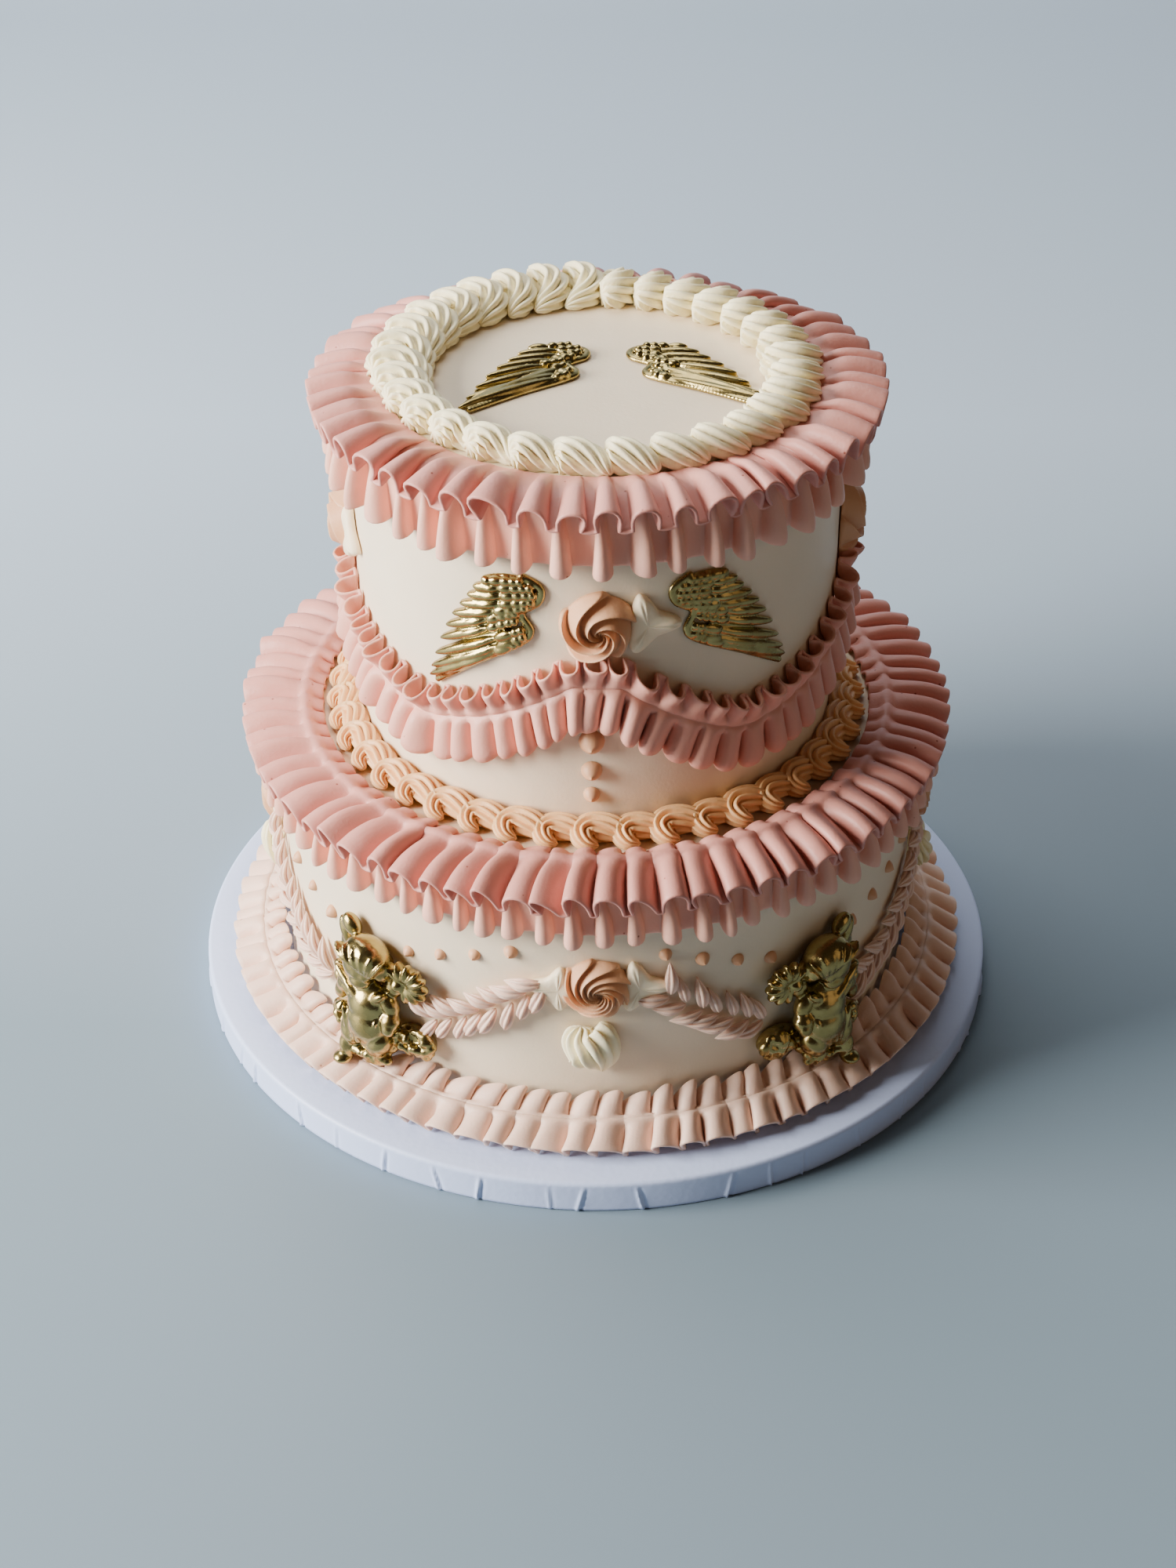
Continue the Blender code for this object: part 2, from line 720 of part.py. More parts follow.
def kiss_mesh(name, place, width, height, sink):
    """Make one piped dot: a low cone with a rounded shoulder and a peak."""
    skin = Skin()
    rings = []
    for scale, out in ((1.0, -sink), (0.86, 0.45 * height)):
        samples = []
        for k in range(DOT_SIDES):
            bearing = 2.0 * math.pi * k / DOT_SIDES
            reach = 0.5 * width * scale
            samples.append((k, place(reach * math.sin(bearing), reach * math.cos(bearing), out)))
        rings.append(closed_row(skin.add_row(samples), DOT_SIDES))
    skin.bridge(rings[0], rings[1])
    skin.faces.append([number for _, number in rings[0][:-1]])
    skin.fan(rings[1], skin.add_point(place(0.0, -0.1 * width, height)))
    return skin.to_mesh(name)


def dot_places():
    """List the azimuth and height of each small dot; those behind a figure are left out.

    A line of dots hangs from each rosette to the next one.
    """
    listed = []
    for start in QUARTERS.values():
        for k in range(DOTS_PER_QUARTER):
            aside = (k - 0.5 * (DOTS_PER_QUARTER - 1)) * DOT_STEP
            azimuth = start + 45.0 + aside + DOT_SHIFT
            figure = CHERUB_OFFSET if start in (0.0, 180.0) else 90.0 - CHERUB_OFFSET
            if abs(azimuth - start - figure) > FIGURE_COVER:
                listed.append((azimuth, 68.5 + 28.0 * (abs(aside) / 45.0) ** 1.25))
    return listed


def add_lower_tier():
    """Add the lower tier with its rows of small dots joined to its wall."""
    low = BOARD_HEIGHT + 0.3
    mesh = turned_mesh("lower_tier", [(LOWER_RADIUS, low), (LOWER_RADIUS, LOWER_TOP)])
    plain = bpy.data.objects.new("plain_tier", mesh)
    bpy.context.scene.collection.objects.link(plain)
    dots = bpy.data.collections.new("dots")
    bpy.context.scene.collection.children.link(dots)
    for azimuth, height in dot_places():
        wall = Wall(LOWER_RADIUS, azimuth, height)
        mesh = kiss_mesh("dot", wall.place, DOT_WIDTH, DOT_HEIGHT, 1.0)
        dots.objects.link(bpy.data.objects.new("dot", mesh))
    fuse = plain.modifiers.new("fuse", "BOOLEAN")
    fuse.operation = "UNION"
    fuse.operand_type = "COLLECTION"
    fuse.solver = "EXACT"
    fuse.collection = dots
    add_object("lower_tier", modified_mesh(plain), "tier_icing")
    for dot in list(dots.objects):
        bpy.data.objects.remove(dot)
    bpy.data.collections.remove(dots)


def add_upper_tier():
    """Add the upper tier, which stands on the lower one."""
    low = LOWER_TOP + 0.3
    profile = [(UPPER_RADIUS, low), (UPPER_RADIUS, UPPER_TOP)]
    add_object("upper_tier", turned_mesh("upper_tier", profile), "tier_icing")


def add_front_dots():
    """Add the three dots that grow smaller down the front of the upper tier."""
    for k, (height, width) in enumerate(((154.3, 10.0), (142.4, 7.6), (132.6, 6.0))):
        wall = Wall(UPPER_RADIUS, -1.2, height)
        name = f"front_dot_{k + 1}"
        add_object(name, kiss_mesh(name, wall.place, width, 0.6 * width, -GAP - 0.1), "rosette_icing")


def add_board():
    """Add the round board under the cake."""
    profile = [(BOARD_RADIUS, 0.0), (BOARD_RADIUS, BOARD_HEIGHT - BOARD_ROUNDING),
               (BOARD_RADIUS - BOARD_ROUNDING, BOARD_HEIGHT)]
    add_object("board", turned_mesh("board", profile), "board_paper")


def main():
    """Build the whole cake from the board up."""
    for thing in list(bpy.data.objects):
        bpy.data.objects.remove(thing)
    add_board()
    add_lower_tier()
    add_upper_tier()
    add_base_border()
    add_lower_ruffles()
    add_upper_ruffles()
    add_shell_rings()
    for k, (name, swag) in enumerate(SWAGS.items()):
        swag_ruffle(f"swag_{name}", swag, 35 + k)
    add_rosettes()
    add_drops()
    add_leaves()
    add_wings()
    add_braids()
    add_front_dots()
    add_cherubs()


main()
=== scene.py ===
"""The dressed cake: every visible piece of it, built round the solids of its frame.

Sizes are in millimetres until a mesh is made. Azimuths are in degrees, 0 at the cake's front (-Y)
and growing towards +X. The piped ruffles, shells and rosettes follow the same rules as the solids.
"""
import logging
import math
from dataclasses import dataclass
from enum import Enum
from typing import Callable, Sequence

import bmesh
import bpy
import numpy as np
from mathutils import Matrix, Vector


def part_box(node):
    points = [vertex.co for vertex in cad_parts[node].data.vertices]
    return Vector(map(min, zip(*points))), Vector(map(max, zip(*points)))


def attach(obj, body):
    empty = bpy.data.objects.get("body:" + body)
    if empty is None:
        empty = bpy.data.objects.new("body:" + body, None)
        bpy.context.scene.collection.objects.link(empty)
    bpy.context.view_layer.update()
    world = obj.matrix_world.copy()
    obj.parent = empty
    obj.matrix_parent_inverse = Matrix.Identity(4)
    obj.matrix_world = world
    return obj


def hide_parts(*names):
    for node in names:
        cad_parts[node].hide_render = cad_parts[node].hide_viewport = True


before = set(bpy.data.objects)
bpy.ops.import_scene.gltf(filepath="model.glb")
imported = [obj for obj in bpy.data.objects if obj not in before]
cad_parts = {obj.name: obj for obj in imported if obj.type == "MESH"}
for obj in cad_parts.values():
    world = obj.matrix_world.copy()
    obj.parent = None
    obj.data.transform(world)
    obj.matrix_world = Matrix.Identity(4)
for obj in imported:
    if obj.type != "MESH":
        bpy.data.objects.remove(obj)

log = logging.getLogger("cake")
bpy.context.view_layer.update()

# A wall's radius is its icing's. GAP is how far a piece keeps off the surface that it lies on, and
# CHERUB_OFFSET how far a figure stands from the nearest rosette, in degrees.
MM = 0.001
GAP = 0.4
BOARD_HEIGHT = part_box("board")[1][2] / MM
BOARD_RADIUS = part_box("board")[1][0] / MM
LOWER_RADIUS = 119.0
LOWER_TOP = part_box("lower_tier")[1][2] / MM
UPPER_RADIUS = 86.0
UPPER_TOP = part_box("upper_tier")[1][2] / MM
QUARTERS = {"front": 0.0, "right": 90.0, "back": 180.0, "left": -90.0}
CHERUB_OFFSET = 41.0
TURN = 2.0 * math.pi

# Sockets that Blender gives by number: the two colours that Mix takes and the one it gives.
MIX_FROM, MIX_TO, MIX_COLOUR = 6, 7, 2
Colour = tuple[float, float, float, float]


def on_cake(radius: np.ndarray, azimuth: np.ndarray, height: np.ndarray) -> np.ndarray:
    """Place points by distance from the cake's axis, azimuth in degrees and height.

    Args:
        radius: Distances from the axis.
        azimuth: Azimuths in degrees.
        height: Heights.

    Returns:
        An array of points with a last axis of x, y and z.
    """
    angle = np.radians(azimuth)
    parts = np.broadcast_arrays(radius * np.sin(angle), -radius * np.cos(angle), height)
    return np.stack(parts, axis=-1).astype(float)


def spline(values: np.ndarray, shares: np.ndarray) -> np.ndarray:
    """Read a smooth curve through rows of values.

    Args:
        values: The rows that the curve passes through, at equal steps.
        shares: Places along the curve, from 0 to 1.

    Returns:
        One row for each share.
    """
    values = np.asarray(values, dtype=float)
    last = len(values) - 1
    place = np.clip(np.asarray(shares, dtype=float), 0.0, 1.0) * last
    span = np.minimum(place.astype(int), last - 1)
    part = (place - span)[:, None]
    ends = np.vstack([2 * values[0] - values[1], values, 2 * values[-1] - values[-2]])
    a, b, c, d = (ends[span + k] for k in range(4))
    return 0.5 * (2 * b + (c - a) * part + (2 * a - 5 * b + 4 * c - d) * part ** 2
                  + (3 * b - a - 3 * c + d) * part ** 3)


def unit(vectors: np.ndarray) -> np.ndarray:
    """Scale vectors to length one."""
    return vectors / np.maximum(np.linalg.norm(vectors, axis=-1, keepdims=True), 1e-9)


class Surface:
    """Collects grids of points, in millimetres, and makes one closed smooth mesh of them."""

    def __init__(self) -> None:
        """Start with no points and no faces."""
        self.points: list[np.ndarray] = []
        self.faces: list[tuple[int, ...]] = []
        self.count = 0

    def add(self, points: np.ndarray) -> np.ndarray:
        """Add points.

        Args:
            points: An array whose last axis is x, y and z.

        Returns:
            Their numbers, in the array's own shape.
        """
        flat = points.reshape(-1, 3)
        numbers = self.count + np.arange(len(flat)).reshape(points.shape[:-1])
        self.points.append(flat)
        self.count += len(flat)
        return numbers

    def grid(self, points: np.ndarray, loop_rows: bool = False, loop_columns: bool = False) -> np.ndarray:
        """Add a grid of quads.

        Args:
            points: Points by row and column.
            loop_rows: Whether the last row joins the first.
            loop_columns: Whether the last column joins the first.

        Returns:
            The points' numbers by row and column.
        """
        numbers = self.add(points)
        full = np.vstack([numbers, numbers[:1]]) if loop_rows else numbers
        full = np.hstack([full, full[:, :1]]) if loop_columns else full
        quads = np.stack([full[:-1, :-1], full[:-1, 1:], full[1:, 1:], full[1:, :-1]], axis=-1)
        self.faces.extend(map(tuple, quads.reshape(-1, 4).tolist()))
        return numbers

    def pole(self, ring: np.ndarray, point: np.ndarray) -> None:
        """Close a looped row of points with a fan to one point.

        Args:
            ring: The row's point numbers.
            point: The fan's tip.
        """
        tip = int(self.add(np.asarray(point, dtype=float).reshape(1, 3))[0])
        for first, second in zip(ring, np.roll(ring, -1)):
            self.faces.append((int(first), int(second), tip))

    def mesh(self, name: str) -> bpy.types.Mesh:
        """Make the mesh, in metres, with its faces turned outwards.

        Args:
            name: The mesh's name.

        Returns:
            The mesh.
        """
        mesh = bpy.data.meshes.new(name)
        mesh.from_pydata((np.vstack(self.points) * MM).tolist(), [], self.faces)
        return turned_out(mesh)


def turned_out(mesh: bpy.types.Mesh) -> bpy.types.Mesh:
    """Turn every face of a closed mesh outwards and shade it smooth.

    Args:
        mesh: The mesh, which is changed.

    Returns:
        The same mesh.
    """
    work = bmesh.new()
    work.from_mesh(mesh)
    bmesh.ops.recalc_face_normals(work, faces=work.faces)
    if work.calc_volume(signed=True) < 0.0:
        bmesh.ops.reverse_faces(work, faces=work.faces)
    work.to_mesh(mesh)
    work.free()
    mesh.shade_smooth()
    return mesh


def srgb(red: float, green: float, blue: float) -> Colour:
    """Turn a colour as seen on a screen into the linear one that shaders take.

    Args:
        red: The red part, from 0 to 255.
        green: The green part.
        blue: The blue part.

    Returns:
        The linear colour, from 0 to 1.
    """
    def linear(value: float) -> float:
        """Turn one part into a linear one."""
        return ((value / 255.0 + 0.055) / 1.055) ** 2.4
    return (linear(red), linear(green), linear(blue), 1.0)


@dataclass(frozen=True)
class Nodes:
    """A short way to add and link the nodes of one tree."""

    tree: bpy.types.NodeTree

    def add(self, kind: str, inputs: dict | None = None, **settings: object) -> bpy.types.Node:
        """Add a node.

        Args:
            kind: The node's type name.
            inputs: Socket names or numbers, each with a value or with an output to link.
            **settings: The node's own settings.

        Returns:
            The node.
        """
        node = self.tree.nodes.new(kind)
        for key, value in settings.items():
            setattr(node, key, value)
        for key, value in (inputs or {}).items():
            if isinstance(value, bpy.types.NodeSocket):
                self.tree.links.new(value, node.inputs[key])
            else:
                node.inputs[key].default_value = value
        return node

    def noise(self, place: bpy.types.NodeSocket, scale: float, detail: float) -> bpy.types.NodeSocket:
        """Add a noise at a scale and give its value."""
        noise = self.add("ShaderNodeTexNoise", {"Vector": place, "Scale": scale, "Detail": detail})
        return noise.outputs["Fac"]

    def mix(self, factor: bpy.types.NodeSocket, first: Colour | bpy.types.NodeSocket,
            second: Colour) -> bpy.types.NodeSocket:
        """Mix two colours by a value and give the result."""
        colours = {0: factor, MIX_FROM: first, MIX_TO: second}
        return self.add("ShaderNodeMix", colours, data_type="RGBA").outputs[MIX_COLOUR]

    def calculate(self, operation: str, *values: object) -> bpy.types.NodeSocket:
        """Add a sum of one operation and give its value."""
        return self.add("ShaderNodeMath", dict(enumerate(values)), operation=operation).outputs[0]

    def span(self, value: bpy.types.NodeSocket, *ends: float) -> bpy.types.NodeSocket:
        """Map a value from the first two of four ends to the last two and give the result."""
        return self.add("ShaderNodeMapRange", dict(enumerate((value, *ends)))).outputs[0]


def shaded(colour: Colour, factor: float) -> Colour:
    """Scale a linear colour's brightness."""
    return (colour[0] * factor, colour[1] * factor, colour[2] * factor, 1.0)


@dataclass(frozen=True)
class Coat:
    """A finish: the record's slot that it belongs to, its colour and its material."""

    slot: str
    colour: Colour
    variant: str = "finish"

    def material(self) -> bpy.types.Material:
        """Make or find the finish's material.

        Returns:
            The material.
        """
        name = f"{self.slot}_{self.variant}"
        found = bpy.data.materials.get(name)
        if found:
            return found
        material = bpy.data.materials.new(name)
        material.use_nodes = True
        nodes = Nodes(material.node_tree)
        place = nodes.add("ShaderNodeTexCoord").outputs["Object"]
        self.dress(nodes, place, material.node_tree.nodes["Principled BSDF"])
        return material

    def dress(self, nodes: Nodes, place: bpy.types.NodeSocket, shader: bpy.types.Node) -> None:
        """Add the finish's own nodes to its material."""
        raise NotImplementedError

    @staticmethod
    def link(nodes: Nodes, shader: bpy.types.Node, colour: bpy.types.NodeSocket, height: bpy.types.NodeSocket,
             strength: float, distance: float) -> None:
        """Give the shader its colour and its fine relief.

        Args:
            nodes: The material's nodes.
            shader: Its shader.
            colour: The output with the colour.
            height: The output with the relief.
            strength: The relief's strength.
            distance: The relief's depth in metres.
        """
        bump = nodes.add("ShaderNodeBump", {"Height": height, "Strength": strength, "Distance": distance})
        nodes.tree.links.new(colour, shader.inputs["Base Color"])
        nodes.tree.links.new(bump.outputs["Normal"], shader.inputs["Normal"])


@dataclass(frozen=True)
class Icing(Coat):
    """A buttercream finish: satin, slightly translucent, with bubbles and fine unevenness."""

    bubbles: float = 0.0
    grain: float = 0.10
    glow: float = 0.25
    roughness: float = 0.46

    def dress(self, nodes: Nodes, place: bpy.types.NodeSocket, shader: bpy.types.Node) -> None:
        """Add the icing's drift of tone, its grain and its bubbles, whose pits carry painted shade.

        Args:
            nodes: The material's nodes.
            place: The output that gives object coordinates.
            shader: The material's shader.
        """
        colour = nodes.mix(nodes.noise(place, 38.0, 3.0),
                           shaded(self.colour, 0.93), shaded(self.colour, 1.06))
        height = nodes.calculate("ADD", nodes.noise(place, 900.0, 2.0), nodes.noise(place, 220.0, 2.0))
        if self.bubbles > 0.0:
            colour, height = self.bubbled(nodes, place, colour, height)
        self.link(nodes, shader, colour, height, self.grain, 0.0012)
        shader.inputs["Roughness"].default_value = self.roughness
        shader.inputs["Specular IOR Level"].default_value = 0.4
        shader.inputs["Subsurface Weight"].default_value = self.glow
        shader.inputs["Subsurface Radius"].default_value = (1.0, 0.7, 0.5)
        shader.inputs["Subsurface Scale"].default_value = 0.0016

    def bubbled(self, nodes: Nodes, place: bpy.types.NodeSocket, colour: bpy.types.NodeSocket,
                height: bpy.types.NodeSocket) -> tuple[bpy.types.NodeSocket, bpy.types.NodeSocket]:
        """Add small open bubbles, as whipped icing has, each sunk in the relief and darkened with painted
        shade.

        Args:
            nodes: The material's nodes.
            place: The output that gives object coordinates.
            colour: The colour so far.
            height: The relief so far.

        Returns:
            The colour with painted shade in the bubbles' pits, and the relief with bubbles.
        """
        cells = nodes.add("ShaderNodeTexVoronoi", {"Vector": place, "Scale": 210.0})
        near = nodes.span(cells.outputs["Distance"], 0.05, 0.11, 1.0, 0.0)
        chosen = nodes.add("ShaderNodeSeparateColor", {0: cells.outputs["Color"]})
        rare = nodes.calculate("GREATER_THAN", chosen.outputs[0], 1.0 - self.bubbles)
        pit = nodes.calculate("MULTIPLY", near, rare)
        # Each pit's colour is darkened to a deep, saturated tone of the icing: painted shade inside the
        # bubble.
        red, green, blue, _ = self.colour
        dark = nodes.mix(pit, colour, (red * 0.45, green * 0.25, blue * 0.2, 1.0))
        return dark, nodes.calculate("MULTIPLY_ADD", pit, -6.0, height)


@dataclass(frozen=True)
class Gold(Coat):
    """Antique gold lustre brushed over cast fondant, which is pale on the highs and brown in the hollows;
    here the pale and the brown tones lie in random patches.
    """

    hollow: Colour = srgb(134, 112, 60)

    def dress(self, nodes: Nodes, place: bpy.types.NodeSocket, shader: bpy.types.Node) -> None:
        """Add the lustre's patches of tone and gloss and its brush marks.

        Args:
            nodes: The material's nodes.
            place: The output that gives object coordinates.
            shader: The material's shader.
        """
        patches = nodes.noise(place, 160.0, 2.0)
        self.link(nodes, shader, nodes.mix(patches, self.hollow, self.colour), nodes.noise(place, 900.0, 3.0),
                  0.10, 0.0006)
        nodes.tree.links.new(nodes.span(patches, 0.3, 0.7, 0.32, 0.18), shader.inputs["Roughness"])
        shader.inputs["Metallic"].default_value = 1.0


@dataclass(frozen=True)
class BoardPaper(Coat):
    """The pale lilac paper that wraps the board, with a fine embossed grain."""

    def dress(self, nodes: Nodes, place: bpy.types.NodeSocket, shader: bpy.types.Node) -> None:
        """Add the paper's drift of tone and its embossed cells.

        Args:
            nodes: The material's nodes.
            place: The output that gives object coordinates.
            shader: The material's shader.
        """
        colour = nodes.mix(nodes.noise(place, 24.0, 3.0),
                           shaded(self.colour, 0.95), shaded(self.colour, 1.03))
        emboss = nodes.add("ShaderNodeTexVoronoi", {"Vector": place, "Scale": 420.0})
        self.link(nodes, shader, colour, emboss.outputs["Distance"], 0.12, 0.0004)
        shader.inputs["Roughness"].default_value = 0.42


class Finish(Enum):
    """The finishes of the cake, each with the slot of the record that it belongs to."""

    TIER = Icing("tier_icing", srgb(240, 222, 195), grain=0.05, glow=0.2)
    DARK_PINK = Icing("dark_pink_icing", srgb(213, 149, 137), bubbles=0.30)
    LIGHT_PINK = Icing("light_pink_icing", srgb(240, 182, 160), bubbles=0.10)
    SWAG_PINK = Icing("light_pink_icing", srgb(231, 168, 150), "festoon", bubbles=0.10)
    BORDER_PINK = Icing("border_pink_icing", srgb(236, 200, 180), bubbles=0.08)
    PEACH = Icing("peach_icing", srgb(240, 188, 132))
    ROSETTE = Icing("rosette_icing", srgb(222, 170, 130))
    CREAM = Icing("cream_icing", srgb(255, 243, 203), glow=0.13)
    # The leaves' copy of the cream icing is warmer and more translucent than the shells': painted warm light
    # against the cool shade that falls on the leaves.
    LEAF_CREAM_WARMED_FOR_SHADE = Icing("cream_icing", srgb(255, 234, 200), "leaf", glow=0.22)
    GOLD = Gold("gold", srgb(194, 176, 118))
    PAPER = BoardPaper("board_paper", srgb(202, 217, 255))


def finish_piece(name: str, mesh: bpy.types.Mesh, finish: Finish, *nodes: str) -> bpy.types.Object:
    """Put a finished mesh in the scene as one piece of the cake.

    Args:
        name: The piece's name.
        mesh: Its mesh, in metres, where it lies.
        finish: Its finish.
        *nodes: The frame's nodes that it stands for.

    Returns:
        The piece.
    """
    piece = bpy.data.objects.new(name, mesh)
    mesh.materials.clear()
    mesh.materials.append(finish.value.material())
    bpy.context.scene.collection.objects.link(piece)
    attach(piece, "root")
    if nodes:
        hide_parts(*nodes)
    return piece


class Ground:
    """A surface on which flat designs lie: u along it, v up it and out from it."""

    def place(self, points: np.ndarray) -> np.ndarray:
        """Place points of u, v and out on the ground."""
        raise NotImplementedError


@dataclass
class Wall(Ground):
    """A tier's wall, about one azimuth and height."""

    radius: float
    azimuth: float
    height: float

    def place(self, points: np.ndarray) -> np.ndarray:
        """Wrap points of u, v and out round the wall."""
        azimuth = self.azimuth + np.degrees(points[..., 0] / self.radius)
        return on_cake(self.radius + points[..., 2], azimuth, self.height + points[..., 1])


@dataclass
class Table(Ground):
    """The flat top of the cake, about one point."""

    x: float
    y: float
    height: float

    def place(self, points: np.ndarray) -> np.ndarray:
        """Lay points of u, v and out on the top."""
        return points + np.array([self.x, self.y, self.height])


# A pleat has so many columns of points over its fold and over its valley. A fold's curve is traced
# in so many finer steps for each column, and a valley dips by a share of a fold's rise. A row of a
# section holds its sheet's thickness at THICK_AT, and a hem is rounded by points at HEM_ANGLES.
FOLD_COLUMNS = 12
VALLEY_COLUMNS = 4
FINE_STEPS = 4
VALLEY_DIP = 0.07
THICK_AT = 8
HEM_ANGLES = (45.0, 90.0, 135.0)


def fold_curves(swings: np.ndarray, plump: float) -> tuple[np.ndarray, np.ndarray]:
    """Trace folds whose direction swings along their length, as a strip's does when it buckles.

    Past a quarter turn a fold overhangs its foot. A plump fold is an arch that starts steeply and
    meets the next one in a crease, and any other flows softly out of the flat strip beside it.

    Args:
        swings: One swing, in radians, for each fold.
        plump: The arch's share in the shape, from 0 to 1.

    Returns:
        Shares along and out of each fold, by fold and column.
    """
    fine = FINE_STEPS * FOLD_COLUMNS
    middles = (np.arange(fine) + 0.5) / fine
    course = (1.0 - plump) * np.sin(TURN * middles) + plump * np.cos(math.pi * middles)
    angles = swings[:, None] * course
    start = np.zeros((len(swings), 1))
    along = np.hstack([start, np.cumsum(np.cos(angles), axis=1)])
    out = np.hstack([start, np.cumsum(np.sin(angles), axis=1)])
    along /= along[:, -1:]
    out /= np.maximum(out.max(axis=1, keepdims=True), 1e-6)
    return along[:, :-1:FINE_STEPS], out[:, :-1:FINE_STEPS]


@dataclass
class Knot:
    """One line along a ruffle, where its section is given.

    reach and height place it in the section. fold, tilt, swing, hump and lean say how far its
    folds stand out and which way, how curled they are, their share of a pleat and their slant,
    plump how arched they are, thick how thick the icing is and drop how far the crests hang.
    """

    reach: float
    height: float
    fold: float = 0.0
    tilt: float = 0.0
    swing: float = 0.6
    hump: float = 0.6
    lean: float = 0.0
    plump: float = 0.0
    thick: float = 1.3
    drop: float = 0.0

    def values(self) -> list[float]:
        """List the knot's sizes."""
        return [self.reach, self.height, self.fold, self.tilt, self.swing, self.hump, self.lean,
                self.plump, self.thick, self.drop]


def section_through(knots: Sequence[Knot], rows: int) -> np.ndarray:
    """Read a ruffle's section, smooth through its knots, as rows of the knots' values."""
    return spline(np.array([knot.values() for knot in knots]), np.linspace(0.0, 1.0, rows))


@dataclass
class Pleats:
    """A run of uneven pleats, drawn as the solids' pleats are."""

    count: int
    seed: int
    wild: float = 0.0

    def __post_init__(self) -> None:
        """Draw every pleat's width, rise, lean, curl and share."""
        dice = np.random.default_rng(self.seed)
        widths = 1.0 + 0.16 * dice.uniform(-1.0, 1.0, self.count)
        widths *= self.count / widths.sum()
        self.starts = np.concatenate([[0.0], np.cumsum(widths)])[:-1]
        self.widths = widths
        self.rises = 1.0 + 0.16 * dice.uniform(-1.0, 1.0, self.count)
        self.leans = 0.10 * dice.uniform(-1.0, 1.0, self.count)
        self.curls = 1.0 + 0.10 * dice.uniform(-1.0, 1.0, self.count)
        self.humps = 1.0 + 0.12 * dice.uniform(-1.0, 1.0, self.count)
        self.phases = dice.uniform(0.0, TURN, 6)
        self.rises = self.rises * (1.0 + self.wild * dice.uniform(-1.0, 0.5, self.count))
        self.leans = self.leans + self.wild * dice.uniform(-1.0, 1.0, self.count)

    def row(self, swing: float, hump: float, lean: float, plump: float) -> tuple[np.ndarray, np.ndarray]:
        """Trace one line of the run.

        Args:
            swing: How far the folds' direction swings, in radians, and 0.05 at least.
            hump: The folds' share of a pleat.
            lean: How far the folds' crests lean along the run, in pleats.
            plump: How arched the folds are, held between 0 and 1.

        Returns:
            Places along the run, in pleats, and rises of the folds.
        """
        swing = max(swing, 0.05)
        along, out = fold_curves(swing * self.curls, min(max(plump, 0.0), 1.0))
        share = np.clip(hump * self.humps, 0.15, 0.97)[:, None]
        start = self.starts[:, None]
        width = self.widths[:, None]
        crest = (lean + self.leans[:, None] * min(1.0, swing)) * out
        part = np.arange(VALLEY_COLUMNS) / VALLEY_COLUMNS
        valley = start + width * (share + (1.0 - share) * part)
        places = np.hstack([start + width * share * along + crest, valley])
        dips = np.broadcast_to(-VALLEY_DIP * np.sin(math.pi * part), valley.shape)
        rises = np.hstack([out * self.rises[:, None], dips])
        return places.ravel(), rises.ravel()

    def wobble(self, places: np.ndarray) -> np.ndarray:
        """Give a slow unevenness along the run.

        Args:
            places: Places along the run, in pleats.

        Returns:
            The unevenness at each, from about -1 to 1.
        """
        turns = TURN * places / self.count
        total = sum(np.sin((k + 2) * turns + phase) / (k + 2) for k, phase in enumerate(self.phases))
        return total / 1.2


def sheet_with_thickness(surface: Surface, sheet: np.ndarray, thick: np.ndarray, closed: bool) -> None:
    """Give a curved sheet its thickness, with rounded hems.

    Args:
        surface: The surface that collects the result.
        sheet: The sheet's middle, by row across it and column along it.
        thick: The thickness of each row.
        closed: Whether the sheet is a ring; otherwise its two ends are capped.
    """
    padded = np.concatenate([sheet[:, -1:], sheet, sheet[:, :1]], axis=1) if closed else sheet
    along = np.gradient(padded, axis=1)
    along = along[:, 1:-1] if closed else along
    across = np.gradient(sheet, axis=0)
    normal = unit(np.cross(along, across))
    half = 0.5 * thick[:, None, None]
    loops = [sheet + normal * half]
    turns = np.radians(HEM_ANGLES)[:, None, None]
    outward = unit(sheet[-1] - sheet[-2])
    loops.append(sheet[-1] + half[-1] * (np.cos(turns) * normal[-1] + np.sin(turns) * outward))
    loops.append((sheet - normal * half)[::-1])
    outward = unit(sheet[0] - sheet[1])
    loops.append(sheet[0] + half[0] * (np.sin(turns) * outward - np.cos(turns) * normal[0]))
    numbers = surface.grid(np.concatenate(loops), loop_rows=True, loop_columns=closed)
    if closed:
        return
    rows = len(sheet)
    for column in (0, -1):
        ring = numbers[:, column]
        hem = len(HEM_ANGLES)
        upper, far, lower, near = np.split(ring, [rows, rows + hem, 2 * rows + hem])
        lower = lower[::-1]
        for k in range(rows - 1):
            surface.faces.append((int(upper[k]), int(upper[k + 1]), int(lower[k + 1]), int(lower[k])))
        surface.faces.append(tuple(int(n) for n in (upper[-1], *far, lower[-1])))
        surface.faces.append(tuple(int(n) for n in (lower[0], *near, upper[0])))


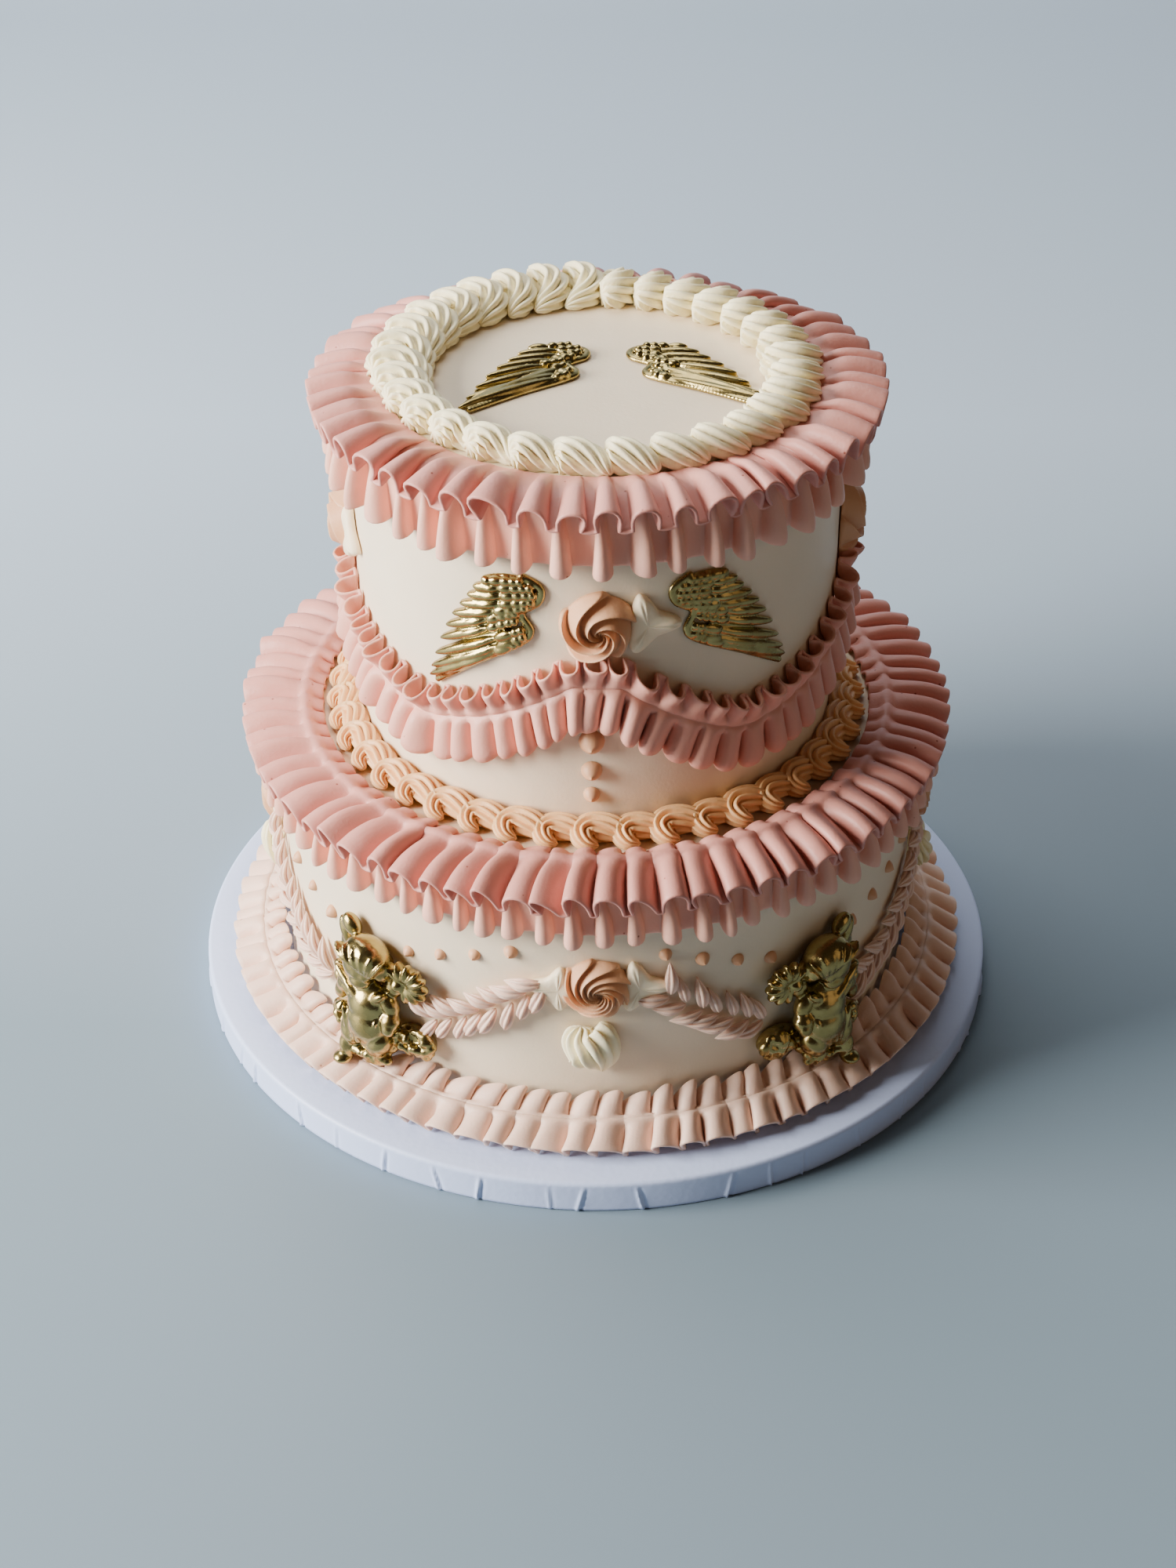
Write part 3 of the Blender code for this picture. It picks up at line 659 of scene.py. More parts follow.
@dataclass
class CreamRing:
    """The ring of big cream shells on the top, piped from one place so that all start at the left.

    Each shell is a fluted body whose heading and bend follow from where it lies on the ring. path
    gives its line by shares of its half length and of its bend, and by height, and widths its radii.
    """

    name: str = "top_shell_ring"
    count: int = 31
    seed: int = 21
    azimuths: tuple[float, ...] = (-180.0, -135.0, -90.0, -45.0, 0.0, 45.0, 90.0, 135.0, 180.0)
    pitches: tuple[float, ...] = (11.2, 10.8, 10.6, 11.6, 13.2, 12.6, 11.4, 11.2, 11.2)
    headings: tuple[float, ...] = (-88.0, -58.0, -20.0, -30.0, -12.0, 8.0, 28.0, 58.0, 92.0)
    bends: tuple[float, ...] = (4.8, 4.8, 4.6, 3.0, 1.2, -1.6, -3.0, -4.8, -5.4)
    lengths: tuple[float, ...] = (20.0, 21.0, 21.0, 20.0, 20.0, 22.0, 22.0, 21.0, 20.0)
    radii: tuple[float, ...] = (66.0, 66.6, 67.4, 68.2, 68.6, 68.4, 67.6, 66.6, 66.0)
    twists: tuple[float, ...] = (2.2, 2.0, 2.0, 2.5, 2.8, 2.4, 2.4, 3.0, 3.0)
    sizes: tuple[float, ...] = (0.93, 0.94, 0.96, 0.92, 0.88, 0.88, 0.92, 0.93, 0.93)
    path: tuple[tuple[float, float, float], ...] = (
        (-0.82, -1.0, 5.2), (-0.60, -0.1, 5.0), (-0.08, 0.7, 4.6), (0.50, 0.4, 3.6), (0.90, -0.6, 2.6),
        (1.08, -1.3, 1.6))
    widths: tuple[float, ...] = (4.6, 7.2, 7.5, 6.1, 3.9, 0.8)

    def places(self) -> np.ndarray:
        """Give the shells' azimuths, which lie closer together where the pitch is small.

        Returns:
            The azimuths in degrees.
        """
        fine = np.linspace(-180.0, 180.0, 721)
        passed = np.cumsum(1.0 / np.interp(fine, self.azimuths, self.pitches))
        passed = (passed - passed[0]) / (passed[-1] - passed[0])
        return np.interp((np.arange(self.count) + 0.5) / self.count, passed, fine)

    def build(self) -> bpy.types.Object:
        """Build the ring.

        Returns:
            Its piece.
        """
        dice = np.random.default_rng(self.seed)
        surface = Surface()
        for azimuth in self.places():
            heading, bend, length, radius, twist, size = (
                float(np.interp(azimuth, self.azimuths, row))
                for row in (self.headings, self.bends, self.lengths, self.radii, self.twists, self.sizes))
            heading = math.radians(heading + dice.uniform(-6.0, 6.0))
            half = 0.5 * length * dice.uniform(0.94, 1.06)
            bend *= dice.uniform(0.85, 1.15)
            middle = on_cake(radius, azimuth, UPPER_TOP)
            shell = Fluted([(along * half, aside * bend, high) for along, aside, high in self.path],
                           [size * wide for wide in self.widths], flutes=9, depth=0.46, twist=twist,
                           crest=0.8, squash=1.02, teeth=0.34, turn=dice.uniform(0.0, 0.6), rings=28,
                           sides=99)
            cosine, sine = math.cos(heading), math.sin(heading)
            turn = np.array([[cosine, sine, 0.0], [-sine, cosine, 0.0], [0.0, 0.0, 1.0]])
            shell.add_to(surface, lambda points: points @ turn + middle, GAP)
        return finish_piece(f"{self.name}_piping", surface.mesh(self.name), Finish.CREAM, self.name)


@dataclass
class RingRuffle:
    """A ruffle that closes on itself round the cake; sag lowers its lip at the back."""

    name: str
    finish: Finish
    pleats: Pleats
    knots: list[Knot]
    rows: int = 14
    unevenness: float = 0.5
    sag: float = 0.0

    def build(self) -> bpy.types.Object:
        """Build the ruffle.

        Returns:
            Its piece.
        """
        section = section_through(self.knots, self.rows)
        step = 360.0 / self.pleats.count
        lines = []
        for k, (reach, height, fold, tilt, swing, hump, lean, plump, _, drop) in enumerate(section):
            places, rises = self.pleats.row(swing, hump, lean, plump)
            part = k / (self.rows - 1)
            behind = (0.5 - 0.5 * np.cos(np.radians(step * places))) ** 2.0 * part
            slope = math.radians(tilt)
            loose = self.unevenness * part * self.pleats.wobble(places)
            out = max(fold, 0.0) * rises * (1.0 - 0.3 * (self.sag > 0.0) * behind)
            radius = reach + (out + loose) * math.cos(slope)
            level = height + (out + loose) * math.sin(slope) - drop * rises - self.sag * behind
            lines.append(on_cake(radius, step * places, level))
        surface = Surface()
        sheet_with_thickness(surface, np.array(lines), section[:, THICK_AT], True)
        return finish_piece(f"{self.name}_piping", surface.mesh(self.name), self.finish, self.name)


@dataclass
class Swag:
    """A festoon on the upper tier: a ribbon pinched along its line, pleated on both sides."""

    name: str
    start: float
    end: float
    low_at: float
    low_height: float
    start_height: float
    end_height: float
    seed: int
    overrun: float = 1.5
    pleat_count: int = 18
    rows: int = 30

    def height(self, azimuth: np.ndarray) -> np.ndarray:
        """Give the line's height, which rises ever faster towards its two ends.

        Args:
            azimuth: Azimuths in degrees.

        Returns:
            The height at each azimuth.
        """
        before = azimuth < self.low_at
        end_at = np.where(before, self.start, self.end)
        end_height = np.where(before, self.start_height, self.end_height)
        share = np.clip((azimuth - self.low_at) / (end_at - self.low_at), 0.0, 1.0)
        return self.low_height + (end_height - self.low_height) * share ** 1.5

    def build(self) -> bpy.types.Object:
        """Build the festoon.

        Returns:
            Its piece.
        """
        pleats = Pleats(self.pleat_count, self.seed, 0.16)
        knots = [Knot(10.4, 1.2, 7.6, -20.0, 1.82, 0.66, 0.06, 1.0, 1.1),
                 Knot(7.8, 1.3, 6.4, -14.0, 1.7, 0.68, 0.04, 1.0, 1.2),
                 Knot(4.4, 1.7, 4.0, -6.0, 1.3, 0.74, 0.0, 1.0, 1.4),
                 Knot(1.6, 3.0, 1.0, 0.0, 0.6, 0.8, 0.0, 0.9, 1.7),
                 Knot(0.5, 2.5, 0.5, 0.0, 0.3, 0.8, 0.0, 1.0, 1.8),
                 Knot(-0.5, 2.6, 0.5, 0.0, 0.3, 0.8, 0.0, 1.0, 1.8),
                 Knot(-1.6, 3.1, 1.2, 0.0, 0.7, 0.84, -0.03, 1.0, 1.7),
                 Knot(-3.8, 1.6, 4.2, 0.0, 1.25, 0.86, -0.08, 1.0, 1.3),
                 Knot(-8.4, 1.2, 6.2, -8.0, 1.5, 0.84, -0.14, 1.0, 1.2),
                 Knot(-12.2, 1.2, 7.0, -14.0, 1.65, 0.84, -0.18, 1.0, 1.2),
                 Knot(-13.8, 1.2, 6.2, -20.0, 1.6, 0.84, -0.18, 1.0, 1.1)]
        section = section_through(knots, self.rows)
        lines = []
        begin, finish = self.start - self.overrun, self.end + self.overrun
        for reach, height, fold, tilt, swing, hump, lean, plump, _, _ in section:
            places, rises = pleats.row(swing, hump, lean, plump)
            azimuth = begin + (finish - begin) * places / self.pleat_count
            slope = self.slope(azimuth)
            tilt = math.radians(tilt)
            across = reach + fold * rises * math.sin(tilt) + 0.5 * pleats.wobble(places)
            out = height + fold * rises * math.cos(tilt)
            aside = np.degrees(-across * np.sin(slope) / UPPER_RADIUS)
            lines.append(on_cake(UPPER_RADIUS + np.maximum(out, GAP + 0.7), azimuth + aside,
                                 self.height(azimuth) + across * np.cos(slope)))
        surface = Surface()
        sheet_with_thickness(surface, np.array(lines), section[:, THICK_AT], False)
        return finish_piece(f"{self.name}_piping", surface.mesh(self.name), Finish.SWAG_PINK, self.name)

    def slope(self, azimuth: np.ndarray) -> np.ndarray:
        """Give how far the pleats turn: as the line slopes, but less at its two ends.

        Args:
            azimuth: Azimuths in degrees.

        Returns:
            The turn at each azimuth, in radians.
        """
        nudge = 0.05
        clipped = np.clip(azimuth, self.start, self.end - nudge)
        rise = self.height(clipped + nudge) - self.height(clipped)
        slope = np.arctan2(rise, UPPER_RADIUS * math.radians(nudge))
        near = np.minimum(azimuth - self.start, self.end - azimuth) / 9.0
        return slope * (0.15 + 0.5 * np.clip(near, 0.0, 1.0))


@dataclass
class Fluted:
    """A piped form: a fluted body swept along a short curved path.

    The path and its radii are given at equal steps. depth says how deep the flutes are, teeth how
    much deeper at the start, twist how far they turn about the path, crest how round they are, and
    squash how high the body is for its width. turn is where the first flute lies.
    """

    path: list[tuple[float, float, float]]
    radii: list[float]
    flutes: int
    depth: float
    twist: float
    crest: float
    squash: float
    teeth: float
    turn: float
    rings: int
    sides: int

    def points(self) -> tuple[np.ndarray, np.ndarray, np.ndarray]:
        """Trace the body.

        Returns:
            Its rings of points, and its two end points.
        """
        shares = np.linspace(0.0, 1.0, self.rings + 2)
        middle = spline(np.array(self.path), shares)
        radii = np.maximum(spline(np.array(self.radii)[:, None], shares)[:, 0], 0.15)
        ahead = unit(np.gradient(middle, axis=0))
        upper = [unit(np.cross(np.cross(ahead[0], (0.0, 0.02, 1.0)), ahead[0]))]
        for direction in ahead[1:]:
            upper.append(unit(upper[-1] - direction * np.dot(upper[-1], direction)))
        upper = np.array(upper)
        side = np.cross(ahead, upper)
        bearings = TURN * np.arange(self.sides) / self.sides
        phase = 0.5 * self.flutes * (bearings[None, :] + self.turn + self.twist * shares[:, None])
        depth = self.depth + self.teeth * np.exp(-((shares / 0.16) ** 2))
        ridge = 1.0 - depth[:, None] * (1.0 - np.abs(np.cos(phase)) ** self.crest)
        reach = radii[:, None] * ridge
        body = (middle[:, None] + (reach * np.cos(bearings))[..., None] * side[:, None]
                + (self.squash * reach * np.sin(bearings))[..., None] * upper[:, None])
        return body[1:-1], middle[0], middle[-1]

    def add_to(self, surface: Surface, place: Callable[[np.ndarray], np.ndarray], floor: float) -> None:
        """Add the body to a surface.

        Args:
            surface: The surface that collects it.
            place: Places points of u, v and out.
            floor: The least distance out, where the body is flat on its ground.
        """
        body, first, last = self.points()
        body[..., 2] = np.maximum(body[..., 2], floor)
        first[2] = max(first[2], floor)
        last[2] = max(last[2], floor)
        numbers = surface.grid(place(body), loop_columns=True)
        surface.pole(numbers[0], place(first))
        surface.pole(numbers[-1], place(last))


class Scatter:
    """Geometry Nodes that set copies of one shape on points, each with its own turn and size."""

    def __init__(self) -> None:
        """Make the tree with its named inputs."""
        self.tree = bpy.data.node_groups.new("copies_on_points", "GeometryNodeTree")
        self.sockets = {name: self.socket(name, kind) for name, kind in (
            ("Points", "Geometry"), ("Shape", "Object"), ("Size Spread", "Float"), ("Turn Spread", "Float"),
            ("Seed", "Int"), ("Finish", "Material"))}
        self.tree.interface.new_socket("Mesh", in_out="OUTPUT", socket_type="NodeSocketGeometry")
        self.wire()

    def socket(self, name: str, kind: str) -> str:
        """Add an input to the tree and give its identifier."""
        socket = self.tree.interface.new_socket(name, in_out="INPUT", socket_type=f"NodeSocket{kind}")
        return socket.identifier

    def wire(self) -> None:
        """Add and link the tree's nodes."""
        nodes = Nodes(self.tree)
        given = nodes.add("NodeGroupInput").outputs
        turn = nodes.add("GeometryNodeInputNamedAttribute", {"Name": "turn"}, data_type="FLOAT_VECTOR")
        size = nodes.add("GeometryNodeInputNamedAttribute", {"Name": "size"}, data_type="FLOAT_VECTOR")
        low = nodes.calculate("SUBTRACT", 1.0, given["Size Spread"])
        high = nodes.calculate("ADD", 1.0, given["Size Spread"])
        growth = nodes.add("FunctionNodeRandomValue", {2: low, 3: high, "Seed": given["Seed"]},
                           data_type="FLOAT")
        scale = nodes.add("ShaderNodeVectorMath", {0: size.outputs[0], "Scale": growth.outputs[1]},
                          operation="SCALE")
        back = nodes.calculate("MULTIPLY", given["Turn Spread"], -1.0)
        later = nodes.calculate("ADD", given["Seed"], 1.0)
        sway = nodes.add("FunctionNodeRandomValue", {2: back, 3: given["Turn Spread"], "Seed": later},
                         data_type="FLOAT")
        aside = nodes.add("ShaderNodeCombineXYZ", {"Z": sway.outputs[1]})
        placed = nodes.add("FunctionNodeEulerToRotation", {0: turn.outputs[0]})
        swayed = nodes.add("FunctionNodeEulerToRotation", {0: aside.outputs[0]})
        both = nodes.add("FunctionNodeRotateRotation", {0: placed.outputs[0], 1: swayed.outputs[0]},
                         rotation_space="LOCAL")
        shape = nodes.add("GeometryNodeObjectInfo", {"Object": given["Shape"]})
        copies = nodes.add("GeometryNodeInstanceOnPoints", {
            "Points": given["Points"], "Instance": shape.outputs["Geometry"],
            "Rotation": both.outputs[0], "Scale": scale.outputs[0]})
        real = nodes.add("GeometryNodeRealizeInstances", {"Geometry": copies.outputs[0]})
        dressed = nodes.add("GeometryNodeSetMaterial", {"Geometry": real.outputs[0],
                                                        "Material": given["Finish"]})
        nodes.add("NodeGroupOutput", {0: dressed.outputs[0]})

    def mesh(self, name: str, shape: bpy.types.Mesh, points: np.ndarray, turns: np.ndarray,
             sizes: np.ndarray, finish: Finish, spread: float, sway: float, seed: int) -> bpy.types.Mesh:
        """Set copies of a shape on points.

        Args:
            name: The result's name.
            shape: The mesh that is copied, in metres, about its own origin.
            points: Where the copies go, in millimetres.
            turns: Each copy's turn, as angles about X, Y and Z in radians.
            sizes: Each copy's scale along its own X, Y and Z.
            finish: The finish.
            spread: How far sizes differ, as a share.
            sway: How far copies turn about their own Z, in radians.
            seed: The seed of both.

        Returns:
            One mesh of all the copies.
        """
        model = bpy.data.objects.new(f"{name}_shape", shape)
        ground = bpy.data.meshes.new(f"{name}_points")
        ground.from_pydata((points * MM).tolist(), [], [])
        for key, values in (("turn", turns), ("size", sizes)):
            ground.attributes.new(key, "FLOAT_VECTOR", "POINT").data.foreach_set("vector", values.ravel())
        carrier = bpy.data.objects.new(f"{name}_points", ground)
        bpy.context.scene.collection.objects.link(carrier)
        copies = carrier.modifiers.new("copies", "NODES")
        copies.node_group = self.tree
        for key, value in (("Shape", model), ("Size Spread", spread), ("Turn Spread", sway), ("Seed", seed),
                           ("Finish", finish.value.material())):
            copies[self.sockets[key]] = value
        result = settled(carrier)
        bpy.data.objects.remove(model)
        return result


def settled(thing: bpy.types.Object) -> bpy.types.Mesh:
    """Give the mesh that an object's modifiers make, and remove the object.

    Args:
        thing: The object, with its modifiers.

    Returns:
        The plain mesh.
    """
    bpy.context.view_layer.update()
    graph = bpy.context.evaluated_depsgraph_get()
    mesh = bpy.data.meshes.new_from_object(thing.evaluated_get(graph))
    bpy.data.objects.remove(thing)
    mesh.shade_smooth()
    return mesh


@dataclass
class ShellRing:
    """A ring of alike overlapping shells, piped while the cake is turned."""

    name: str
    finish: Finish
    shell: Fluted
    count: int
    radius: float
    height: float
    spread: float
    sway: float
    seed: int

    def build(self, scatter: Scatter) -> bpy.types.Object:
        """Build the ring.

        Args:
            scatter: The tree that sets the copies.

        Returns:
            Its piece.
        """
        surface = Surface()
        self.shell.add_to(surface, lambda points: points, GAP)
        azimuths = 360.0 * np.arange(self.count) / self.count
        turns = np.zeros((self.count, 3))
        turns[:, 2] = np.radians(azimuths)
        mesh = scatter.mesh(self.name, surface.mesh("shell"), on_cake(self.radius, azimuths, self.height),
                            turns, np.ones((self.count, 3)), self.finish, self.spread, self.sway, self.seed)
        return finish_piece(f"{self.name}_piping", mesh, self.finish, self.name)


@dataclass
class Rosette:
    """A piped rosette: sharp crests that spiral in from a round edge to its middle.

    sweep says how fast they wind, relief how high they stand, and rise and fall are the shares of
    a crest's two flanks.
    """

    name: str
    ground: Ground
    size: float
    depth: float
    crests: int
    seed: int
    relief: float = 4.2
    sweep: float = 2.6
    rise: float = 0.84
    fall: float = 0.16
    rings: int = 58
    sides: int = 200

    def build(self) -> bpy.types.Object:
        """Build the rosette.

        Returns:
            Its piece.
        """
        reach = np.linspace(1.0, 0.02, self.rings)[:, None]
        bearing = TURN * np.arange(self.sides)[None, :] / self.sides
        spiral = -self.crests * self.sweep * np.log(reach + 0.14)
        turns = (self.crests * bearing + spiral + 0.7 * self.seed) / TURN
        part = turns - np.floor(turns)
        crest = np.where(part < self.rise, (part / self.rise) ** 1.4, ((1.0 - part) / self.fall) ** 0.8)
        dome = (1.0 - reach ** 2.6) ** 0.55 * (1.0 - 0.38 * np.exp(-(reach / 0.22) ** 2))
        swell = np.clip((1.0 - reach) / 0.07, 0.0, 1.0) ** 0.5
        swell = swell * (0.35 + 0.65 * np.clip(reach / 0.3, 0.0, 1.0))
        out = self.depth * dome * (0.9 + 0.1 * reach) + self.relief * swell * (crest - 0.62)
        wide = self.size * (reach * (0.93 + 0.10 * crest) - 0.05 * swell * crest * reach)
        wide = wide * (1.0 + 0.03 * np.sin(2.0 * bearing + self.seed))
        points = np.stack(np.broadcast_arrays(wide * np.sin(bearing), wide * np.cos(bearing),
                                              np.maximum(out, 0.0) + GAP + 0.2), axis=-1)
        inner = ((reach < 0.5) * (1.0 - reach / 0.5))[..., None]
        points = points + inner * np.array([0.09, -0.09, 0.0]) * self.size
        back = points[0].copy()
        back[:, :2] *= 0.9
        back[:, 2] = GAP
        surface = Surface()
        numbers = surface.grid(self.ground.place(np.concatenate([back[None], points])), loop_columns=True)
        surface.pole(numbers[0], self.ground.place(np.array([0.0, 0.0, GAP])))
        surface.pole(numbers[-1], self.ground.place(points[-1].mean(axis=0) - np.array([0.0, 0.0, 0.3])))
        return finish_piece(f"{self.name}_piping", surface.mesh(self.name), Finish.ROSETTE, self.name)


@dataclass
class Leaf:
    """A piped cream leaf: a few soft lobes round one root, each with a crease along it.

    A lobe is its bearing in degrees, its length past the core and its half width in radians.
    """

    name: str
    ground: Ground
    middle: tuple[float, float]
    lobes: tuple[tuple[float, float, float], ...]
    rise: float
    core: float
    mirrored: bool = False
    rings: int = 18
    sides: int = 120

    def build(self) -> bpy.types.Object:
        """Build the leaf.

        Returns:
            Its piece.
        """
        bearing = TURN * np.arange(self.sides)[None, :] / self.sides
        reach = np.linspace(1.0, 0.04, self.rings)[:, None]
        edge = np.full(bearing.shape, self.core)
        crease = np.zeros(bearing.shape)
        for angle, length, wide in self.lobes:
            aside = (bearing - math.radians(angle) + math.pi) % TURN - math.pi
            edge = edge + length * np.exp(-np.abs(aside / wide) ** 1.45)
            crease = (crease + np.exp(-(aside / (0.4 * wide)) ** 2)
                      - 0.7 * np.exp(-(aside / (0.13 * wide)) ** 2))
        side = -1.0 if self.mirrored else 1.0
        u = side * (self.middle[0] + edge * reach * np.cos(bearing))
        v = self.middle[1] + edge * reach * np.sin(bearing)
        dome = (1.0 - reach ** 3.0) ** 0.5
        out = GAP + 0.5 + self.rise * dome * (0.62 + 0.3 * crease * np.clip(1.6 * reach, 0.0, 1.0))
        out = out + 0.9 * reach ** 2
        front = np.stack(np.broadcast_arrays(u, v, out), axis=-1)
        back = front[0].copy()
        back[:, 2] = GAP
        surface = Surface()
        numbers = surface.grid(self.ground.place(np.concatenate([back[None], front])), loop_columns=True)
        root = front[-1].mean(axis=0)
        surface.pole(numbers[0], self.ground.place(np.array([root[0], root[1], GAP])))
        surface.pole(numbers[-1], self.ground.place(root))
        # The leaves wear the cream that is warmed against shade: painted warm light.
        return finish_piece(f"{self.name}_piping", surface.mesh(self.name), Finish.LEAF_CREAM_WARMED_FOR_SHADE, self.name)


@dataclass
class Lump:
    """One rounded mass of a cast figure: centre, half sizes and tilt in degrees."""

    u: float
    v: float
    out: float
    half_u: float
    half_v: float
    half_out: float
    tilt: float = 0.0


def cast(name: str, lumps: Sequence[Lump], ground: Ground, sign: float, turn: float,
         voxel: float) -> bpy.types.Mesh:
    """Melt masses into one skin and lay it on its ground.

    Args:
        name: The mesh's name.
        lumps: The masses, on a flat ground.
        ground: Where the skin lies.
        sign: -1 to mirror the masses left to right.
        turn: A turn in degrees about the ground's outward direction.
        voxel: The size of the smallest detail, in millimetres.

    Returns:
        The mesh, in metres, where it lies.
    """
    work = bmesh.new()
    spin = Matrix.Rotation(math.radians(turn), 4, "Z")
    for lump in lumps:
        sizes = Matrix.Diagonal((lump.half_u, lump.half_v, lump.half_out, 1.0))
        lean = Matrix.Rotation(math.radians(sign * lump.tilt), 4, "Z")
        middle = Matrix.Translation((sign * lump.u, lump.v, lump.out))
        bmesh.ops.create_icosphere(work, subdivisions=3, radius=1.0, matrix=spin @ middle @ lean @ sizes)
    mesh = bpy.data.meshes.new(f"{name}_masses")
    work.to_mesh(mesh)
    work.free()
    thing = bpy.data.objects.new(f"{name}_masses", mesh)
    bpy.context.scene.collection.objects.link(thing)
    melt = thing.modifiers.new("melt", "REMESH")
    melt.mode = "VOXEL"
    melt.voxel_size = voxel
    soften = thing.modifiers.new("soften", "SMOOTH")
    soften.factor = 0.5
    soften.iterations = 2
    skin = settled(thing)
    corners = np.empty(3 * len(skin.vertices))
    skin.vertices.foreach_get("co", corners)
    corners = corners.reshape(-1, 3)
    corners[:, 2] = np.maximum(corners[:, 2], GAP)
    skin.vertices.foreach_set("co", (ground.place(corners) * MM).ravel())
    skin.update()
    return turned_out(skin)


LEADING_EDGE = [(0.0, 0.0), (9.6, -4.4), (9.8, -10.0), (4.0, -15.4), (7.0, -21.7), (3.4, -27.0),
                (-12.0, -37.5), (-31.5, -52.5)]
TRAILING_EDGE = [(-1.0, 0.3), (-10.5, -5.7), (-15.4, -12.5), (-21.0, -21.0), (-26.0, -31.5),
                 (-30.5, -44.0), (-32.4, -51.5)]


@dataclass
class Wing:
    """A cast gold wing: lines of beads at the leading edge that run out into long feathers.

    A sleek wing has fewer beads, and one smooth band along its lower edge.
    """

    name: str
    ground: Ground
    mirrored: bool
    turn: float
    relief: float = 1.0
    feathers: int = 10
    sleek: bool = False
    rim_lumps: int = 115
    detail: float = 0.4

    def lumps(self) -> list[Lump]:
        """List the wing's masses.

        Returns:
            The masses of its rim, its feathers and its band.
        """
        lead = np.array(LEADING_EDGE)
        trail = np.array(TRAILING_EDGE)
        listed = []
        for share in np.linspace(0.055, 0.98, self.rim_lumps):
            u, v = spline(lead, np.array([share]))[0]
            size = 1.5 - 0.3 * share
            listed.append(Lump(u + 0.2, v, 0.8, size, size, 1.1))
        for k in range(self.feathers):
            share = (k + 0.5) / self.feathers
            first = spline(lead, np.array([0.06 + 0.64 * share ** 1.05]))[0]
            last = spline(trail, np.array([0.10 + 0.90 * share]))[0]
            listed += self.feather_line(first, last, share)
        if self.sleek:
            first, last = spline(lead, np.array([0.5]))[0], spline(trail, np.array([0.99]))[0]
            middle, line = 0.5 * (first + last), last - first
            half = 0.5 * float(np.linalg.norm(line))
            tilt = math.degrees(math.atan2(line[1], line[0]))
            listed.append(Lump(middle[0] - 0.5, middle[1] + 0.6, 1.5, half, 2.3, 2.2, tilt))
        return listed

    def feather_line(self, first: np.ndarray, last: np.ndarray, share: float) -> list[Lump]:
        """List the beads and the feather on one line from the leading edge outwards.

        Args:
            first: The line's start.
            last: The line's end, a feather's tip.
            share: The line's place, from 0 at the shoulder to 1 at the wing's tip.

        Returns:
            The masses on the line.
        """
        line = last - first
        length = float(np.linalg.norm(line))
        tilt = math.degrees(math.atan2(line[1], line[0]))
        high = self.relief
        listed = [Lump(*(first + line * 0.52), 0.5, 0.5 * length, 2.3, 1.0, tilt)]
        along = 1.4
        sizes = [1.15, 1.35, 1.7, 2.3] if share < 0.72 else [1.1, 1.5, 3.4]
        if self.sleek:
            sizes = [1.3, 1.6, 1.9] if share < 0.6 else [1.4, 1.8]
        for size in sizes:
            middle = first + line * (along + size) / length
            listed.append(Lump(*middle, 1.7 * high + 0.3, size * 1.12, 1.45 + 0.1 * size, 1.5 * high, tilt))
            along += 1.75 * size
        begin = (along - 0.4) / length
        half = 0.5 * (1.0 - begin) * length
        middle = first + line * (0.5 * (begin + 1.0))
        listed.append(Lump(*middle, 1.5 * high + 0.2, half, 1.75, 1.6 * high, tilt))
        if not self.sleek:
            middle = first + line * (begin + 0.35 * (1.0 - begin))
            listed.append(Lump(*middle, 1.7 * high + 0.3, 0.5 * half, 1.55, 1.7 * high, tilt))
        return listed

    def build(self) -> bpy.types.Object:
        """Build the wing.

        Returns:
            Its piece.
        """
        sign = -1.0 if self.mirrored else 1.0
        mesh = cast(self.name, self.lumps(), self.ground, sign, self.turn, self.detail)
        return finish_piece(f"{self.name}_cast", mesh, Finish.GOLD, self.name)


